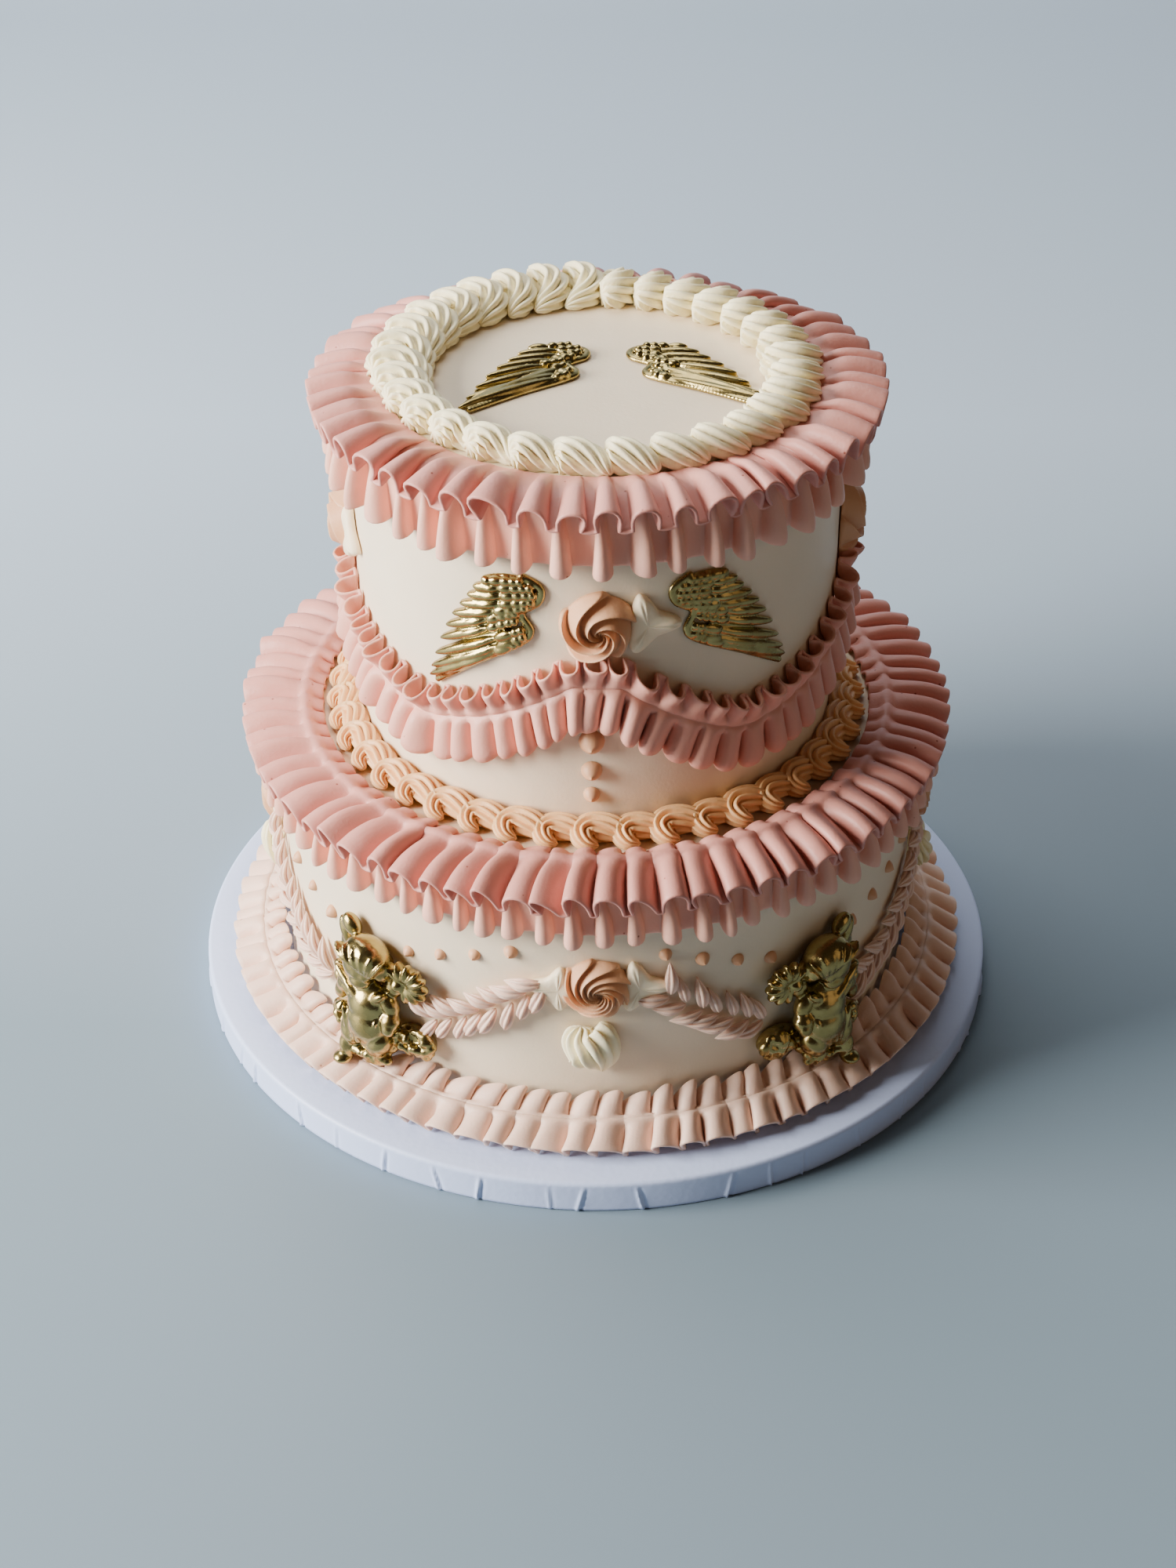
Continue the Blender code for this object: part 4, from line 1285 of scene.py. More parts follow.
@dataclass
class Cherub:
    """A cast gold figure: a child with small wings over a garland of flowers."""

    name: str
    ground: Ground
    sign: float
    seed: int
    detail: float = 0.59

    def flowers(self, dice: np.random.Generator, u: float, v: float, out: float, wide: float, tall: float,
                count: int) -> list[Lump]:
        """List a bunch of small round blossoms.

        Args:
            dice: The random draws.
            u: The bunch's middle along the wall.
            v: Its height.
            out: Its distance out.
            wide: Its half width.
            tall: Its half height.
            count: How many blossoms it has.

        Returns:
            The blossoms.
        """
        listed = []
        for _ in range(count):
            angle = dice.uniform(0.0, TURN)
            reach = math.sqrt(dice.uniform(0.0, 1.0))
            size = dice.uniform(1.2, 2.0)
            place = (u + wide * reach * math.cos(angle), v + tall * reach * math.sin(angle))
            listed.append(Lump(*place, out + 2.6 * (1.0 - reach ** 2), size, size, size * 1.2))
        return listed

    def lumps(self) -> list[Lump]:
        """List the figure's masses.

        Returns:
            The masses, from its head down to its flowers.
        """
        dice = np.random.default_rng(self.seed)
        head = [Lump(1.0, 67.4, 8.0, 7.4, 7.8, 7.0), Lump(2.4, 62.6, 11.6, 4.2, 3.2, 3.4),
                Lump(4.8, 65.8, 12.2, 2.5, 2.3, 2.2), Lump(-0.8, 65.0, 12.2, 2.4, 2.2, 2.2),
                Lump(2.2, 66.2, 13.8, 1.1, 1.5, 1.3), Lump(-0.6, 69.8, 12.2, 3.4, 1.1, 1.6, 24.0)]
        hair = [Lump(3.6, 72.2, 8.0, 8.8, 6.4, 7.0, -22.0), Lump(9.0, 68.8, 7.0, 2.8, 5.4, 5.4, 22.0),
                Lump(-4.6, 68.0, 7.2, 2.8, 5.6, 5.2, 10.0)]
        hair += [Lump(-1.6 + 2.3 * k, 73.2 - 0.3 * k ** 1.5, 13.4 - 0.5 * k, 0.8, 5.4, 3.4, 56.0 - 17.0 * k)
                 for k in range(6)]
        wings = [Lump(-7.4, 77.6, 4.2, 3.4, 4.8, 3.0, 40.0), Lump(-10.4, 72.0, 3.6, 2.6, 7.0, 2.6, 26.0),
                 Lump(-11.0, 66.4, 3.4, 2.4, 6.0, 2.4, 14.0)]
        bow = [Lump(17.6 + 5.2 * math.cos(a), 65.0 + 4.6 * math.sin(a), 6.2, 4.2, 1.25, 3.0, math.degrees(a))
               for a in np.linspace(-1.5, 2.4, 9)]
        bow += [Lump(15.4, 64.0, 6.4, 2.8, 2.8, 3.8), Lump(17.6, 64.8, 4.0, 6.4, 5.6, 3.6)]
        body = [Lump(1.0, 56.6, 6.6, 8.6, 5.4, 5.4), Lump(3.0, 49.6, 8.6, 8.0, 8.8, 6.6),
                Lump(3.8, 43.0, 9.6, 8.0, 9.4, 7.0, 8.0)]
        drape = [Lump(-3.4, 57.4, 10.4, 8.4, 1.9, 2.4, -34.0), Lump(1.6, 54.4, 11.8, 8.4, 1.5, 2.2, -36.0),
                 Lump(-3.4, 53.4, 10.8, 6.4, 1.4, 2.0, -42.0), Lump(8.4, 56.4, 10.2, 4.0, 1.7, 2.2, 40.0)]
        arms = [Lump(-9.0, 53.0, 7.0, 3.2, 5.8, 3.6, -24.0), Lump(-12.6, 46.6, 6.0, 2.8, 4.8, 3.0, -14.0),
                Lump(-14.6, 50.6, 5.0, 2.2, 3.0, 2.4, 30.0), Lump(-15.6, 55.0, 4.4, 2.2, 2.2, 2.2),
                Lump(11.6, 53.6, 7.4, 3.0, 5.4, 3.6, 28.0), Lump(13.0, 47.4, 9.4, 3.6, 4.0, 4.0),
                Lump(13.6, 45.6, 12.0, 2.4, 2.8, 2.0)]
        legs = [Lump(-3.0, 36.0, 10.2, 4.6, 6.6, 5.2, 14.0), Lump(8.2, 36.0, 10.2, 4.6, 6.4, 5.0, -30.0),
                Lump(-4.0, 29.6, 12.6, 2.8, 5.6, 3.6, 4.0), Lump(-4.6, 24.8, 14.8, 3.2, 2.3, 4.0)]
        folds = [Lump(-3.0 + 2.7 * k, 42.0 - 0.5 * abs(k - 2), 14.6 - 0.55 * abs(k - 2), 1.0, 7.6, 1.5,
                      12.0 - 7.0 * k) for k in range(5)]
        blooms = self.flowers(dice, 19.0, 37.8, 4.6, 8.4, 5.6, 34)
        blooms += self.flowers(dice, -12.0, 34.4, 5.0, 5.6, 6.4, 22)
        blooms += self.flowers(dice, 2.4, 29.6, 9.8, 9.6, 3.4, 26)
        filler = [Lump(19.0, 38.0, 2.6, 8.4, 5.8, 3.4), Lump(-12.0, 34.4, 2.8, 5.2, 6.0, 3.4),
                  Lump(2.4, 32.4, 6.0, 10.8, 4.6, 5.4), Lump(12.4, 60.4, 4.6, 3.6, 4.4, 3.8)]
        return head + hair + wings + bow + body + drape + arms + legs + folds + blooms + filler

    def build(self) -> bpy.types.Object:
        """Build the figure.

        Returns:
            Its piece.
        """
        mesh = cast(self.name, self.lumps(), self.ground, self.sign, 0.0, self.detail)
        return finish_piece(f"{self.name}_cast", mesh, Finish.GOLD, self.name)


def edge_steps(radius: float, angles: Sequence[float]) -> list[tuple[float, float]]:
    """List how far a rounded edge comes in and up at each of some angles in degrees."""
    turns = [math.radians(angle) for angle in angles]
    return [(radius * (1.0 - math.cos(turn)), radius * math.sin(turn)) for turn in turns]


@dataclass
class Tier:
    """A tier's smooth icing, with the faint unevenness that a scraper leaves."""

    name: str
    radius: float
    low: float
    high: float
    seed: int
    edge: float = 1.4
    waves: int = 6
    levels: int = 26
    sides: int = 240

    def build(self) -> bpy.types.Object:
        """Build the tier.

        Returns:
            Its piece.
        """
        dice = np.random.default_rng(self.seed)
        azimuths = 360.0 * np.arange(self.sides) / self.sides
        angles = np.radians(azimuths)
        draws = dice.uniform(0.0, TURN, (self.waves, 2))
        phases, swirl = draws[:, 0], draws[0, 1]
        lines = []
        for level in np.linspace(self.low, self.high - self.edge, self.levels):
            wave = sum(0.10 / (k + 1) * np.sin(angles * (k + 2) + phase + 0.03 * (k + 1) * level)
                       for k, phase in enumerate(phases))
            lines.append(on_cake(self.radius - 0.05 + wave, azimuths, level))
        for inset, lift in edge_steps(self.edge, (30.0, 60.0, 90.0)):
            lines.append(on_cake(self.radius - inset, azimuths, self.high - self.edge + lift))
        for share in (0.9, 0.7, 0.5, 0.3, 0.1):
            wave = 0.08 * np.sin(3.0 * angles + 9.0 * share + swirl)
            lines.append(on_cake(self.radius * share, azimuths, self.high + wave))
        surface = Surface()
        numbers = surface.grid(np.array(lines), loop_columns=True)
        surface.pole(numbers[0], np.array([0.0, 0.0, self.low]))
        surface.pole(numbers[-1], np.array([0.0, 0.0, self.high]))
        return finish_piece(f"{self.name}_icing", surface.mesh(self.name), Finish.TIER, self.name)


@dataclass
class Dots:
    """Small piped dots, each a low cone with a peak that hangs a little.

    Those of the lower tier hang in four bows. middle is a bow's middle past a rosette, step the
    dots' spacing, both in degrees, low and lift its heights, and cover what a figure hides of it.
    """

    scatter: Scatter
    per_quarter: int = 11
    middle: float = 43.5
    step: float = 6.42
    low: float = 68.5
    lift: float = 28.0
    cover: float = 7.0
    depth: float = 0.62
    sunk: float = 0.06
    rings: int = 9
    sides: int = 16

    def shape(self) -> bpy.types.Mesh:
        """Make one dot, 1 mm across and standing out along its own Y.

        Returns:
            Its mesh.
        """
        shares = np.linspace(0.0, 1.0, self.rings)[:, None]
        bearings = TURN * np.arange(self.sides)[None, :] / self.sides
        reach = 0.5 * (1.0 - shares ** 1.9) ** 0.8 + 0.02
        sag = -0.12 * shares ** 3
        points = np.stack(np.broadcast_arrays(reach * np.cos(bearings), self.depth * shares - self.sunk,
                                              reach * np.sin(bearings) + sag), axis=-1)
        surface = Surface()
        numbers = surface.grid(points, loop_columns=True)
        surface.pole(numbers[0], np.array([0.0, -self.sunk, 0.0]))
        surface.pole(numbers[-1], np.array([0.0, self.depth, -0.16]))
        return surface.mesh("dot")

    def places(self) -> list[tuple[float, float]]:
        """List the dots of the lower tier that no figure hides.

        Returns:
            The azimuth and height of each.
        """
        listed = []
        for start in QUARTERS.values():
            figure = CHERUB_OFFSET if start in (0.0, 180.0) else 90.0 - CHERUB_OFFSET
            for k in range(self.per_quarter):
                aside = (k - 0.5 * (self.per_quarter - 1)) * self.step
                if abs(self.middle + aside - figure) > self.cover:
                    height = self.low + self.lift * (abs(aside) / 45.0) ** 1.25
                    listed.append((start + self.middle + aside, height))
        return listed

    def build(self, name: str, radius: float, places: list[tuple[float, float]], size: float,
              *nodes: str) -> bpy.types.Object:
        """Build one piece of dots.

        Args:
            name: The piece's name.
            radius: The wall's radius.
            places: Each dot's azimuth and height.
            size: Each dot's width.
            *nodes: The frame's nodes that it stands for.

        Returns:
            The piece.
        """
        azimuths, heights = np.array(places).T
        turns = np.zeros((len(places), 3))
        turns[:, 2] = np.radians(azimuths + 180.0)
        sizes = np.full((len(places), 3), size)
        mesh = self.scatter.mesh(name, self.shape(), on_cake(radius, azimuths, heights), turns, sizes,
                                 Finish.ROSETTE, spread=0.12, sway=0.0, seed=5)
        return finish_piece(name, mesh, Finish.ROSETTE, *nodes)


@dataclass
class Braid:
    """A braid of small fluted strokes along the lower wall, in pairs that meet at its middle line.

    It runs from first to last, in degrees past its rosette at centre. Each pair has a stroke over
    the line and one under it, which lean in degrees along it and start a little off it.
    """

    name: str
    centre: float
    first: float
    last: float
    scatter: Scatter
    pitch: float = 5.8
    low: float = 42.0
    lift: float = 50.4
    pair: tuple[tuple[float, float], ...] = ((134.0, 0.4), (216.0, -0.4))

    def height(self, offset: float) -> float:
        """Give the braid's height by its distance in degrees from its rosette."""
        return self.low + self.lift * (1.0 - abs(offset) / 45.0) ** 1.9

    def slope(self, offset: float, nudge: float = 0.2) -> float:
        """Give how steeply the braid climbs at a distance from its rosette, in radians."""
        rise = self.height(offset + nudge) - self.height(offset)
        return math.atan2(rise, LOWER_RADIUS * math.radians(nudge))

    def build(self) -> bpy.types.Object:
        """Build the braid.

        Returns:
            Its piece.
        """
        shell = Fluted([(0.4, 0.0, 1.1), (4.0, 0.0, 2.5), (8.4, 0.0, 2.9), (14.0, 0.0, 0.9)],
                       [0.6, 2.1, 2.4, 0.2], flutes=6, depth=0.50, twist=0.5, crest=0.85, squash=0.9,
                       teeth=0.0, turn=0.2, rings=12, sides=42)
        surface = Surface()
        shell.add_to(surface, lambda points: points, 0.1)
        low, high = sorted((self.first, self.last))
        length = LOWER_RADIUS * math.radians(high - low)
        count = max(2, round(length / self.pitch))
        points, turns = [], []
        for k in range(count):
            offset = low + (high - low) * (k + 0.8) / count
            azimuth = self.centre + offset
            upright = Matrix.Rotation(math.radians(azimuth), 4, "Z") @ Matrix.Rotation(math.pi / 2.0, 4, "X")
            for lean, shift in self.pair:
                points.append(on_cake(LOWER_RADIUS + GAP, azimuth, self.height(offset) + shift))
                along = Matrix.Rotation(self.slope(offset) + math.radians(lean), 4, "Z")
                turns.append(tuple((upright @ along).to_euler()))
        mesh = self.scatter.mesh(self.name, surface.mesh("small_stroke"), np.array(points), np.array(turns),
                                 np.ones((len(points), 3)), Finish.BORDER_PINK, spread=0.09,
                                 sway=0.14, seed=7)
        return finish_piece(f"{self.name}_piping", mesh, Finish.BORDER_PINK, self.name)


@dataclass
class Drop:
    """The cream shell that hangs under a rosette of the lower tier."""

    name: str
    ground: Ground

    def build(self) -> bpy.types.Object:
        """Build the shell.

        Returns:
            Its piece.
        """
        path = [(-5.4, 7.0, 2.0), (-5.2, 3.2, 3.4), (-1.8, 0.2, 4.4), (2.0, -6.0, 3.4), (2.2, -15.0, 0.9)]
        body = Fluted(path, [3.0, 7.4, 10.0, 7.0, 0.3], flutes=11, depth=0.46, twist=1.2, crest=0.85,
                      squash=0.62, teeth=0.3, turn=0.1, rings=30, sides=132)
        surface = Surface()
        body.add_to(surface, self.ground.place, GAP)
        return finish_piece(f"{self.name}_piping", surface.mesh(self.name), Finish.CREAM, self.name)


@dataclass
class Board:
    """The round board, whose paper is pleated over its edge.

    skin is the paper's height over the top, inset how far its side lies in from the widest crease
    and foot how far it is drawn in below.
    """

    creases: int = 46
    edge: float = 1.5
    skin: float = -0.05
    inset: float = 0.45
    foot: float = 1.2
    levels: int = 12
    sides: int = 1440

    def build(self) -> bpy.types.Object:
        """Build the board.

        Returns:
            Its piece.
        """
        dice = np.random.default_rng(3)
        azimuths = 360.0 * np.arange(self.sides) / self.sides
        middles = 360.0 * (np.arange(self.creases) + dice.uniform(-0.4, 0.4, self.creases)) / self.creases
        slants = dice.uniform(-1.4, 1.4, self.creases)
        sizes = dice.uniform(0.3, 1.6, self.creases)
        lines = [on_cake(BOARD_RADIUS - self.foot, azimuths, 0.0)]
        for level in np.linspace(0.5, BOARD_HEIGHT - 1.6, self.levels):
            tall = level / BOARD_HEIGHT
            fold = np.zeros(self.sides)
            for middle, slant, size in zip(middles, slants, sizes):
                aside = (azimuths - middle - slant * tall + 180.0) % 360.0 - 180.0
                fold += size * (0.8 * np.exp(-(aside / 0.2) ** 2)
                                - 0.5 * np.exp(-((aside - 0.42) / 0.26) ** 2))
            fold *= math.sin(math.pi * min(1.0, 0.25 + 0.9 * tall)) ** 0.5
            lines.append(on_cake(BOARD_RADIUS - self.inset + fold, azimuths, level))
        top = BOARD_HEIGHT + self.skin
        for inwards, lift in edge_steps(self.edge, (20.0, 45.0, 70.0, 90.0)):
            lines.append(on_cake(BOARD_RADIUS - self.inset - inwards, azimuths, top - self.edge + lift))
        for share in (0.95, 0.7, 0.3):
            lines.append(on_cake(BOARD_RADIUS * share, azimuths, top))
        surface = Surface()
        numbers = surface.grid(np.array(lines), loop_columns=True)
        surface.pole(numbers[0], np.zeros(3))
        surface.pole(numbers[-1], np.array([0.0, 0.0, top]))
        return finish_piece("board_paper_wrap", surface.mesh("board"), Finish.PAPER, "board")


@dataclass(frozen=True)
class Ruffles:
    """The designs of the cake's ring ruffles and its base border, which start at the two walls."""

    upper: float = UPPER_RADIUS
    lower: float = LOWER_RADIUS

    def upper_light(self) -> RingRuffle:
        """Design the light ruffle that hangs from the upper rim.

        Returns:
            The ruffle.
        """
        knots = [Knot(self.upper + 1.2, 246.2, 1.0, 0.0, 0.6, 0.22, 0.0, 0.6),
                 Knot(self.upper + 1.2, 240.5, 3.8, 0.0, 1.3, 0.24, 0.0, 0.7),
                 Knot(self.upper + 1.2, 233.5, 6.2, 0.0, 1.6, 0.33, 0.0, 0.85),
                 Knot(self.upper + 1.3, 226.6, 7.6, 0.0, 1.75, 0.38, 0.0, 0.9, 1.3, 0.8),
                 Knot(self.upper + 1.4, 223.4, 7.4, 0.0, 1.8, 0.40, 0.0, 0.9, 1.3, 1.3)]
        return RingRuffle("upper_light_ruffle", Finish.LIGHT_PINK, Pleats(45, 11, 0.12), knots, rows=20)

    def upper_dark(self) -> RingRuffle:
        """Design the dark ruffle that lies on the upper rim and sags behind.

        Returns:
            The ruffle.
        """
        knots = [Knot(74.2, 248.0, 0.3, 90.0, 0.6, 0.5, 0.0, 0.7, 0.9),
                 Knot(80.6, 248.5, 1.8, 90.0, 1.2, 0.5, 0.0, 0.8, 1.2),
                 Knot(86.0, 248.3, 3.8, 90.0, 1.5, 0.54, -0.03, 0.9),
                 Knot(92.2, 245.6, 6.2, 86.0, 1.62, 0.58, -0.06, 1.0),
                 Knot(98.2, 242.4, 8.0, 80.0, 1.74, 0.64, -0.10, 1.0, 1.3)]
        return RingRuffle("upper_dark_ruffle", Finish.DARK_PINK, Pleats(50, 12, 0.24), knots, rows=24,
                          unevenness=1.0, sag=5.0)

    def lower_light(self) -> RingRuffle:
        """Design the light ruffle that hangs from the lower rim.

        Returns:
            The ruffle.
        """
        knots = [Knot(self.lower + 1.1, 116.0, 0.8, 0.0, 0.6, 0.24, 0.0, 0.6),
                 Knot(self.lower + 1.1, 111.4, 3.6, 0.0, 1.3, 0.27, 0.0, 0.7),
                 Knot(self.lower + 1.2, 106.0, 5.4, 0.0, 1.6, 0.38, 0.0, 0.85),
                 Knot(self.lower + 1.3, 101.0, 6.5, 0.0, 1.75, 0.44, 0.0, 0.9, 1.3, 0.6),
                 Knot(self.lower + 1.3, 98.4, 6.4, 0.0, 1.8, 0.46, 0.0, 0.9, 1.2, 1.1)]
        return RingRuffle("lower_light_ruffle", Finish.LIGHT_PINK, Pleats(74, 13, 0.12), knots, rows=18)

    def lower_dark(self) -> RingRuffle:
        """Design the dark ruffle that lies on the lower rim.

        Returns:
            The ruffle.
        """
        knots = [Knot(101.4, 118.0, 2.4, 80.0, 1.3, 0.8, 0.1, 1.0, 1.2),
                 Knot(104.6, 119.0, 2.2, 80.0, 1.1, 0.8, 0.05, 1.0, 1.4),
                 Knot(107.8, 121.2, 0.6, 90.0, 0.5, 0.9, 0.0, 1.0, 1.6),
                 Knot(110.5, 119.2, 2.4, 88.0, 0.9, 0.92, -0.06, 1.0, 1.5),
                 Knot(116.5, 117.6, 5.0, 86.0, 1.3, 0.84, -0.18, 1.0, 1.3),
                 Knot(123.0, 115.6, 6.8, 82.0, 1.5, 0.78, -0.24, 1.0, 1.2),
                 Knot(128.8, 112.8, 7.6, 76.0, 1.62, 0.72, -0.26, 1.0, 1.3)]
        return RingRuffle("lower_dark_ruffle", Finish.DARK_PINK, Pleats(74, 14, 0.2), knots, rows=26,
                          unevenness=0.7)

    def border(self) -> RingRuffle:
        """Design the double border round the cake's foot, which is pinched at its middle.

        Returns:
            The border.
        """
        knots = [Knot(self.lower + 3.0, 23.8, 4.4, 102.0, 1.45, 0.78, 0.52, 1.0, 1.1),
                 Knot(self.lower + 5.0, 23.2, 4.2, 92.0, 1.3, 0.84, 0.34, 1.0, 1.3),
                 Knot(self.lower + 7.6, 21.2, 3.2, 80.0, 1.0, 0.9, 0.08, 1.0, 1.8),
                 Knot(self.lower + 9.5, 22.3, 0.6, 60.0, 0.5, 0.9, 0.0, 1.0, 2.0),
                 Knot(self.lower + 10.3, 21.3, 0.5, 60.0, 0.5, 0.9, 0.0, 1.0, 2.0),
                 Knot(self.lower + 11.1, 22.2, 0.6, 60.0, 0.5, 0.9, 0.0, 1.0, 2.0),
                 Knot(self.lower + 12.8, 19.2, 3.4, 76.0, 1.0, 0.93, -0.04, 1.0, 1.8),
                 Knot(self.lower + 16.2, 15.9, 5.2, 70.0, 1.4, 0.92, -0.18, 1.0, 1.4),
                 Knot(self.lower + 19.3, 14.0, 5.6, 62.0, 1.7, 0.9, -0.28, 1.0, 1.1)]
        return RingRuffle("base_border", Finish.BORDER_PINK, Pleats(86, 15, 0.16), knots, rows=32)

    def build(self) -> list[bpy.types.Object]:
        """Build every ring ruffle.

        Returns:
            Their pieces, from the top down.
        """
        designs = (self.upper_light(), self.upper_dark(), self.lower_light(), self.lower_dark(),
                   self.border())
        return [design.build() for design in designs]


@dataclass(frozen=True)
class Studio:
    """The camera, the soft lights and the plain pale ground, in metres.

    focal_px and height_px are the lens and the picture's height in its pixels, and look_down is
    how many degrees the camera looks down.
    """

    focal_px: float = 3379.0
    height_px: float = 2000.0
    look_down: float = 34.8
    place: tuple[float, float, float] = (-0.00306, -0.829, 0.653)
    aim: tuple[float, float, float] = (0.0, 0.0, 0.13)

    def camera(self) -> None:
        """Add the camera at the photograph's place."""
        data = bpy.data.cameras.new("camera")
        data.sensor_fit = "VERTICAL"
        data.sensor_height = 36.0
        data.lens = data.sensor_height * self.focal_px / self.height_px
        data.clip_start = 0.01
        camera = bpy.data.objects.new("camera", data)
        camera.location = self.place
        camera.rotation_euler = (math.pi / 2.0 - math.radians(self.look_down), 0.0, 0.0)
        bpy.context.scene.collection.objects.link(camera)
        bpy.context.scene.camera = camera

    def light(self, name: str, place: tuple[float, float, float], size: float, power: float,
              colour: tuple[float, float, float]) -> None:
        """Add one square light that faces the cake.

        Args:
            name: The light's name.
            place: Where it hangs.
            size: The length of its side.
            power: Its power in watts.
            colour: Its colour.
        """
        data = bpy.data.lights.new(name, "AREA")
        data.shape = "SQUARE"
        data.size = size
        data.energy = power
        data.color = colour
        lamp = bpy.data.objects.new(name, data)
        lamp.location = place
        towards = Vector(self.aim) - Vector(place)
        lamp.rotation_euler = towards.to_track_quat("-Z", "Y").to_euler()
        bpy.context.scene.collection.objects.link(lamp)

    def paper(self) -> bpy.types.Material:
        """Make the ground's matt grey, which is paler towards the back.

        Returns:
            Its material.
        """
        material = bpy.data.materials.new("studio_paper")
        material.use_nodes = True
        nodes = Nodes(material.node_tree)
        shader = material.node_tree.nodes["Principled BSDF"]
        place = nodes.add("ShaderNodeTexCoord").outputs["Object"]
        axes = nodes.add("ShaderNodeSeparateXYZ", {0: place})
        level = nodes.add("ShaderNodeMapRange", {0: axes.outputs["Y"], 1: -0.05, 2: 0.45, 3: 0.0, 4: 1.0})
        tone = nodes.mix(level.outputs[0], srgb(118, 136, 149), srgb(182, 199, 216))
        material.node_tree.links.new(tone, shader.inputs["Base Color"])
        shader.inputs["Roughness"].default_value = 0.6
        return material

    def ground(self) -> None:
        """Add the pale floor, which curves up into a plain back."""
        width, start, bend, curve, top = 2.6, -1.6, 1.1, 0.5, 2.6
        profile = [(start, 0.0), (bend, 0.0)]
        profile += [(bend + curve * math.sin(angle), curve - curve * math.cos(angle))
                    for angle in np.linspace(0.15, math.pi / 2.0, 10)]
        profile.append((bend + curve, top))
        points = np.array([[(x, y, z) for x in (-width, width)] for y, z in profile]) / MM
        surface = Surface()
        surface.grid(points)
        mesh = bpy.data.meshes.new("studio_ground")
        mesh.from_pydata((np.vstack(surface.points) * MM).tolist(), [], surface.faces)
        mesh.shade_smooth()
        mesh.materials.append(self.paper())
        ground = bpy.data.objects.new("studio_ground", mesh)
        bpy.context.scene.collection.objects.link(ground)

    def air(self) -> None:
        """Fill the room with a faint warm light."""
        world = bpy.data.worlds.new("studio_air")
        world.use_nodes = True
        background = world.node_tree.nodes["Background"]
        background.inputs["Color"].default_value = srgb(226, 198, 170)
        background.inputs["Strength"].default_value = 0.055
        bpy.context.scene.world = world

    def build(self) -> None:
        """Add everything that isn't part of the cake."""
        self.camera()
        self.light("window", (-1.35, -0.34, 0.68), 0.85, 84.0, (1.0, 0.97, 0.915))
        self.light("sky", (-0.5, 0.8, 1.9), 1.4, 28.0, (1.0, 0.99, 0.97))
        self.light("warm_wall", (1.5, -0.9, 0.7), 1.2, 2.6, (1.0, 0.74, 0.52))
        self.air()
        self.ground()


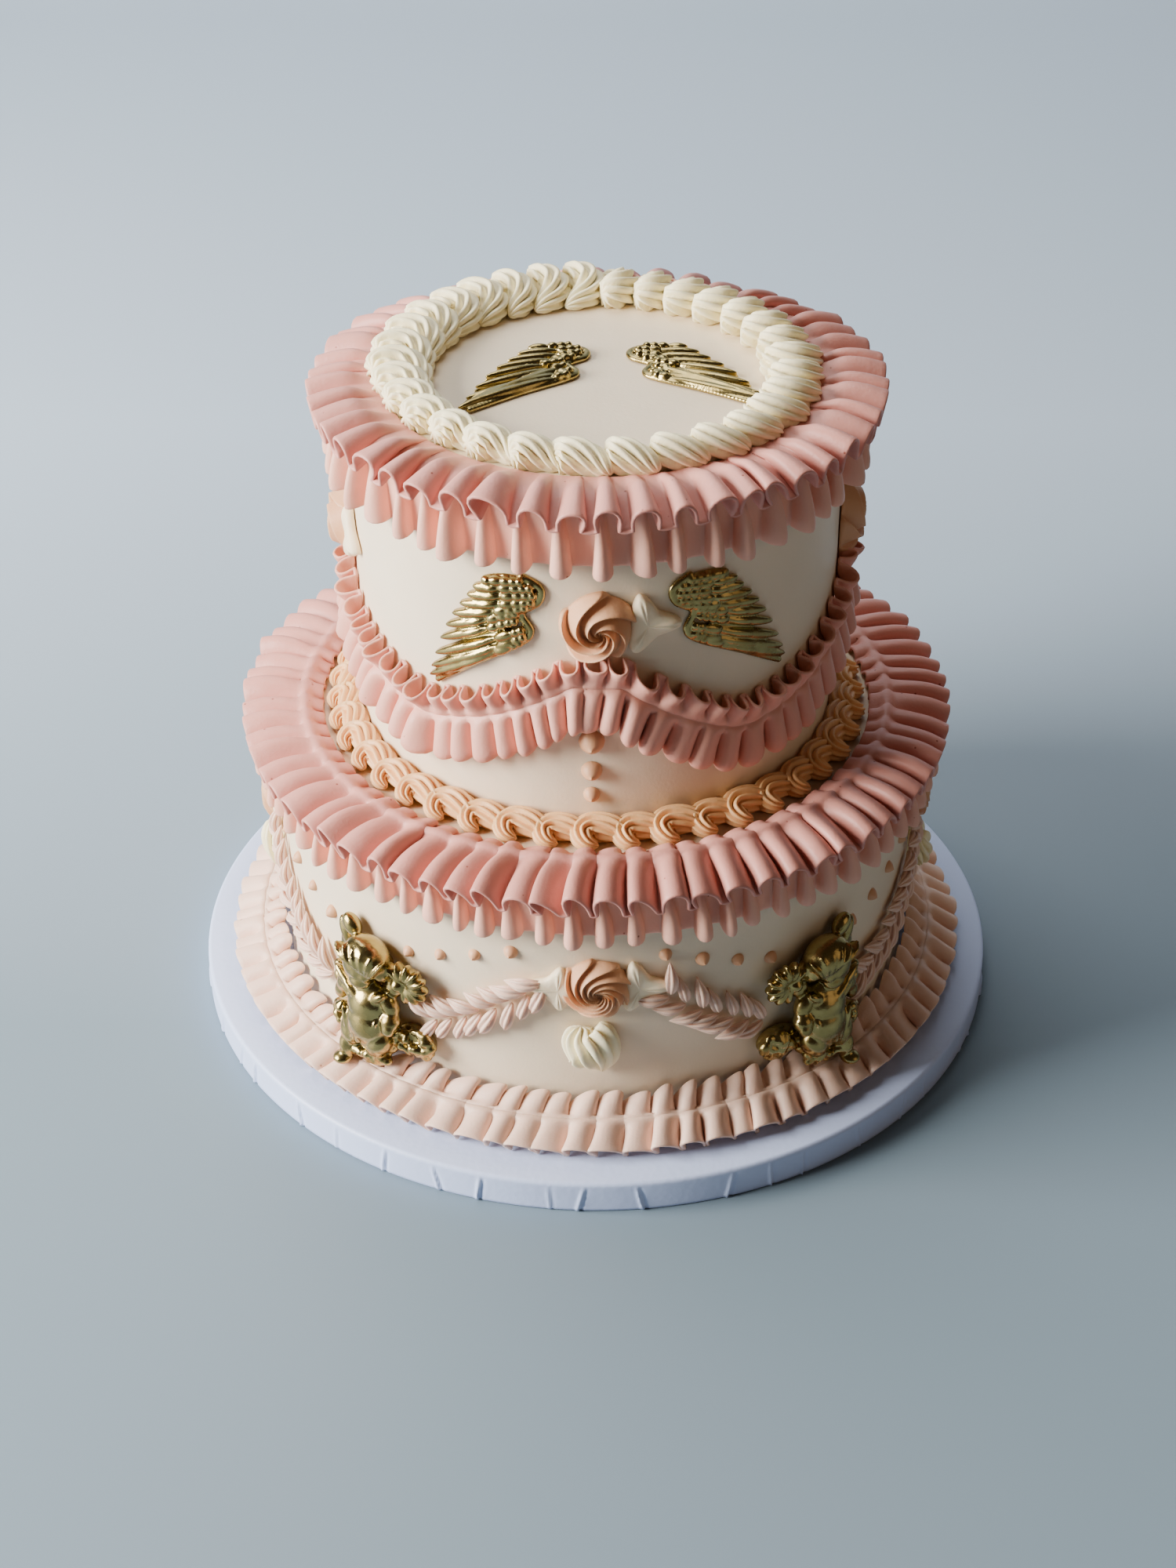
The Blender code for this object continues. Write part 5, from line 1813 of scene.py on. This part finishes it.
@dataclass(frozen=True)
class Cake:
    """The whole cake, from its board up."""

    scatter: Scatter

    def tiers(self) -> list[bpy.types.Object]:
        """Build the board and the two iced tiers with their dots.

        Returns:
            Their pieces.
        """
        dots = Dots(self.scatter)
        built = [Board().build(),
                 Tier("lower_tier", LOWER_RADIUS, BOARD_HEIGHT + 0.3, LOWER_TOP, seed=1).build(),
                 Tier("upper_tier", UPPER_RADIUS, LOWER_TOP + 0.3, UPPER_TOP, seed=2).build(),
                 dots.build("small_dots", LOWER_RADIUS, dots.places(), 4.6)]
        for k, (height, width) in enumerate(((154.3, 8.6), (142.4, 7.0), (132.6, 5.6)), start=1):
            built.append(dots.build(f"front_dot_{k}_piping", UPPER_RADIUS + GAP, [(-1.2, height)], width,
                                    f"front_dot_{k}"))
        return built

    def shells(self) -> list[bpy.types.Object]:
        """Build the two rings of shells.

        Returns:
            Their pieces.
        """
        path = [(0.8, -4.2, 2.0), (-3.2, -4.0, 3.0), (-5.0, -0.6, 4.2), (-2.0, 2.2, 5.0), (4.0, 2.2, 4.8),
                (9.6, 0.9, 3.6), (13.8, 0.2, 1.6)]
        peach = Fluted(path, [0.8, 3.3, 4.6, 5.2, 5.1, 3.6, 0.5], flutes=10, depth=0.44, twist=1.6,
                       crest=0.85, squash=1.0, teeth=0.1, turn=0.0, rings=25, sides=90)
        lower = ShellRing("lower_shell_ring", Finish.PEACH, peach, count=43, radius=93.0, height=LOWER_TOP,
                          spread=0.05, sway=0.06, seed=4)
        return [CreamRing().build(), lower.build(self.scatter)]

    def festoons(self) -> list[bpy.types.Object]:
        """Build the four festoons of the upper tier and the eight braids of the lower one.

        Returns:
            Their pieces.
        """
        built = [Swag("swag_front_left", -85.0, -5.0, -41.0, 154.5, 173.5, 177.5, 35, 3.0).build(),
                 Swag("swag_front_right", 5.0, 85.0, 36.0, 152.5, 177.5, 173.5, 36, 8.0).build(),
                 Swag("swag_back_right", 95.0, 175.0, 138.0, 154.0, 173.5, 173.0, 37, 4.0).build(),
                 Swag("swag_back_left", -175.0, -95.0, -135.0, 153.5, 173.5, 173.5, 38, 4.0).build()]
        for side, azimuth in QUARTERS.items():
            reach = 30.0 if side in ("front", "back") else 38.0
            built.append(Braid(f"braid_left_{side}", azimuth, -8.0, -reach, self.scatter).build())
            built.append(Braid(f"braid_right_{side}", azimuth, 10.0, reach, self.scatter).build())
        return built

    def flowers(self) -> list[bpy.types.Object]:
        """Build the rosettes with their leaves and hanging shells.

        Returns:
            Their pieces.
        """
        three = ((-4.0, 7.0, 0.46), (102.0, 6.4, 0.52), (-112.0, 6.4, 0.52))
        plain = ((4.0, 6.4, 0.46), (96.0, 4.6, 0.5), (-96.0, 4.6, 0.5))
        built = []
        for k, (side, azimuth) in enumerate(QUARTERS.items()):
            upper = Wall(UPPER_RADIUS, azimuth, 200.0 if side == "front" else 194.0)
            lower = Wall(LOWER_RADIUS, azimuth, 75.0)
            built += [
                Rosette(f"upper_rosette_{side}", upper, 13.0, 8.6, 5, seed=k).build(),
                Rosette(f"lower_rosette_{side}", lower, 12.4, 7.4, 8, seed=k + 4, relief=3.0).build(),
                Leaf(f"upper_leaf_{side}", upper, (16.0, 0.6), three, 4.6, 5.0).build(),
                Leaf(f"lower_leaf_right_{side}", lower, (14.4, 0.0), three, 4.0, 4.4).build(),
                Leaf(f"lower_leaf_left_{side}", lower, (13.2, -1.0), plain, 3.6, 4.6, True).build(),
                Drop(f"lower_drop_{side}", Wall(LOWER_RADIUS, azimuth, 51.6)).build()]
        return built

    def castings(self) -> list[bpy.types.Object]:
        """Build the gold wings and figures.

        Returns:
            Their pieces.
        """
        built = [
            Wing("wall_wing_left", Wall(UPPER_RADIUS, -19.4, 218.3), False, 0.0).build(),
            Wing("wall_wing_right", Wall(UPPER_RADIUS, 23.1, 218.3), True, 6.0, relief=0.7).build(),
            Wing("top_wing_left", Table(-14.3, 24.4, UPPER_TOP), False, 0.0, 1.1, 8, sleek=True).build(),
            Wing("top_wing_right", Table(21.6, 25.0, UPPER_TOP), True, 6.0, 1.0, 8, sleek=True).build()]
        for k, (name, rosette, side) in enumerate((("front_left", 0.0, -1.0), ("front_right", 0.0, 1.0),
                                                   ("back_right", 180.0, -1.0), ("back_left", 180.0, 1.0))):
            wall = Wall(LOWER_RADIUS, rosette + side * CHERUB_OFFSET, 0.0)
            built.append(Cherub(f"cherub_{name}", wall, -side, k).build())
        return built

    def build(self) -> list[bpy.types.Object]:
        """Build every piece.

        Returns:
            The pieces, from the tiers to the castings.
        """
        return (self.tiers() + Ruffles().build() + self.shells() + self.festoons() + self.flowers()
                + self.castings())


def main() -> None:
    """Build the studio and the cake and report each piece."""
    logging.basicConfig(level=logging.INFO, format="%(message)s")
    Studio().build()
    for piece in Cake(Scatter()).build():
        log.info("%s: %d faces", piece.name, len(piece.data.polygons))


if __name__ == "__main__":
    main()
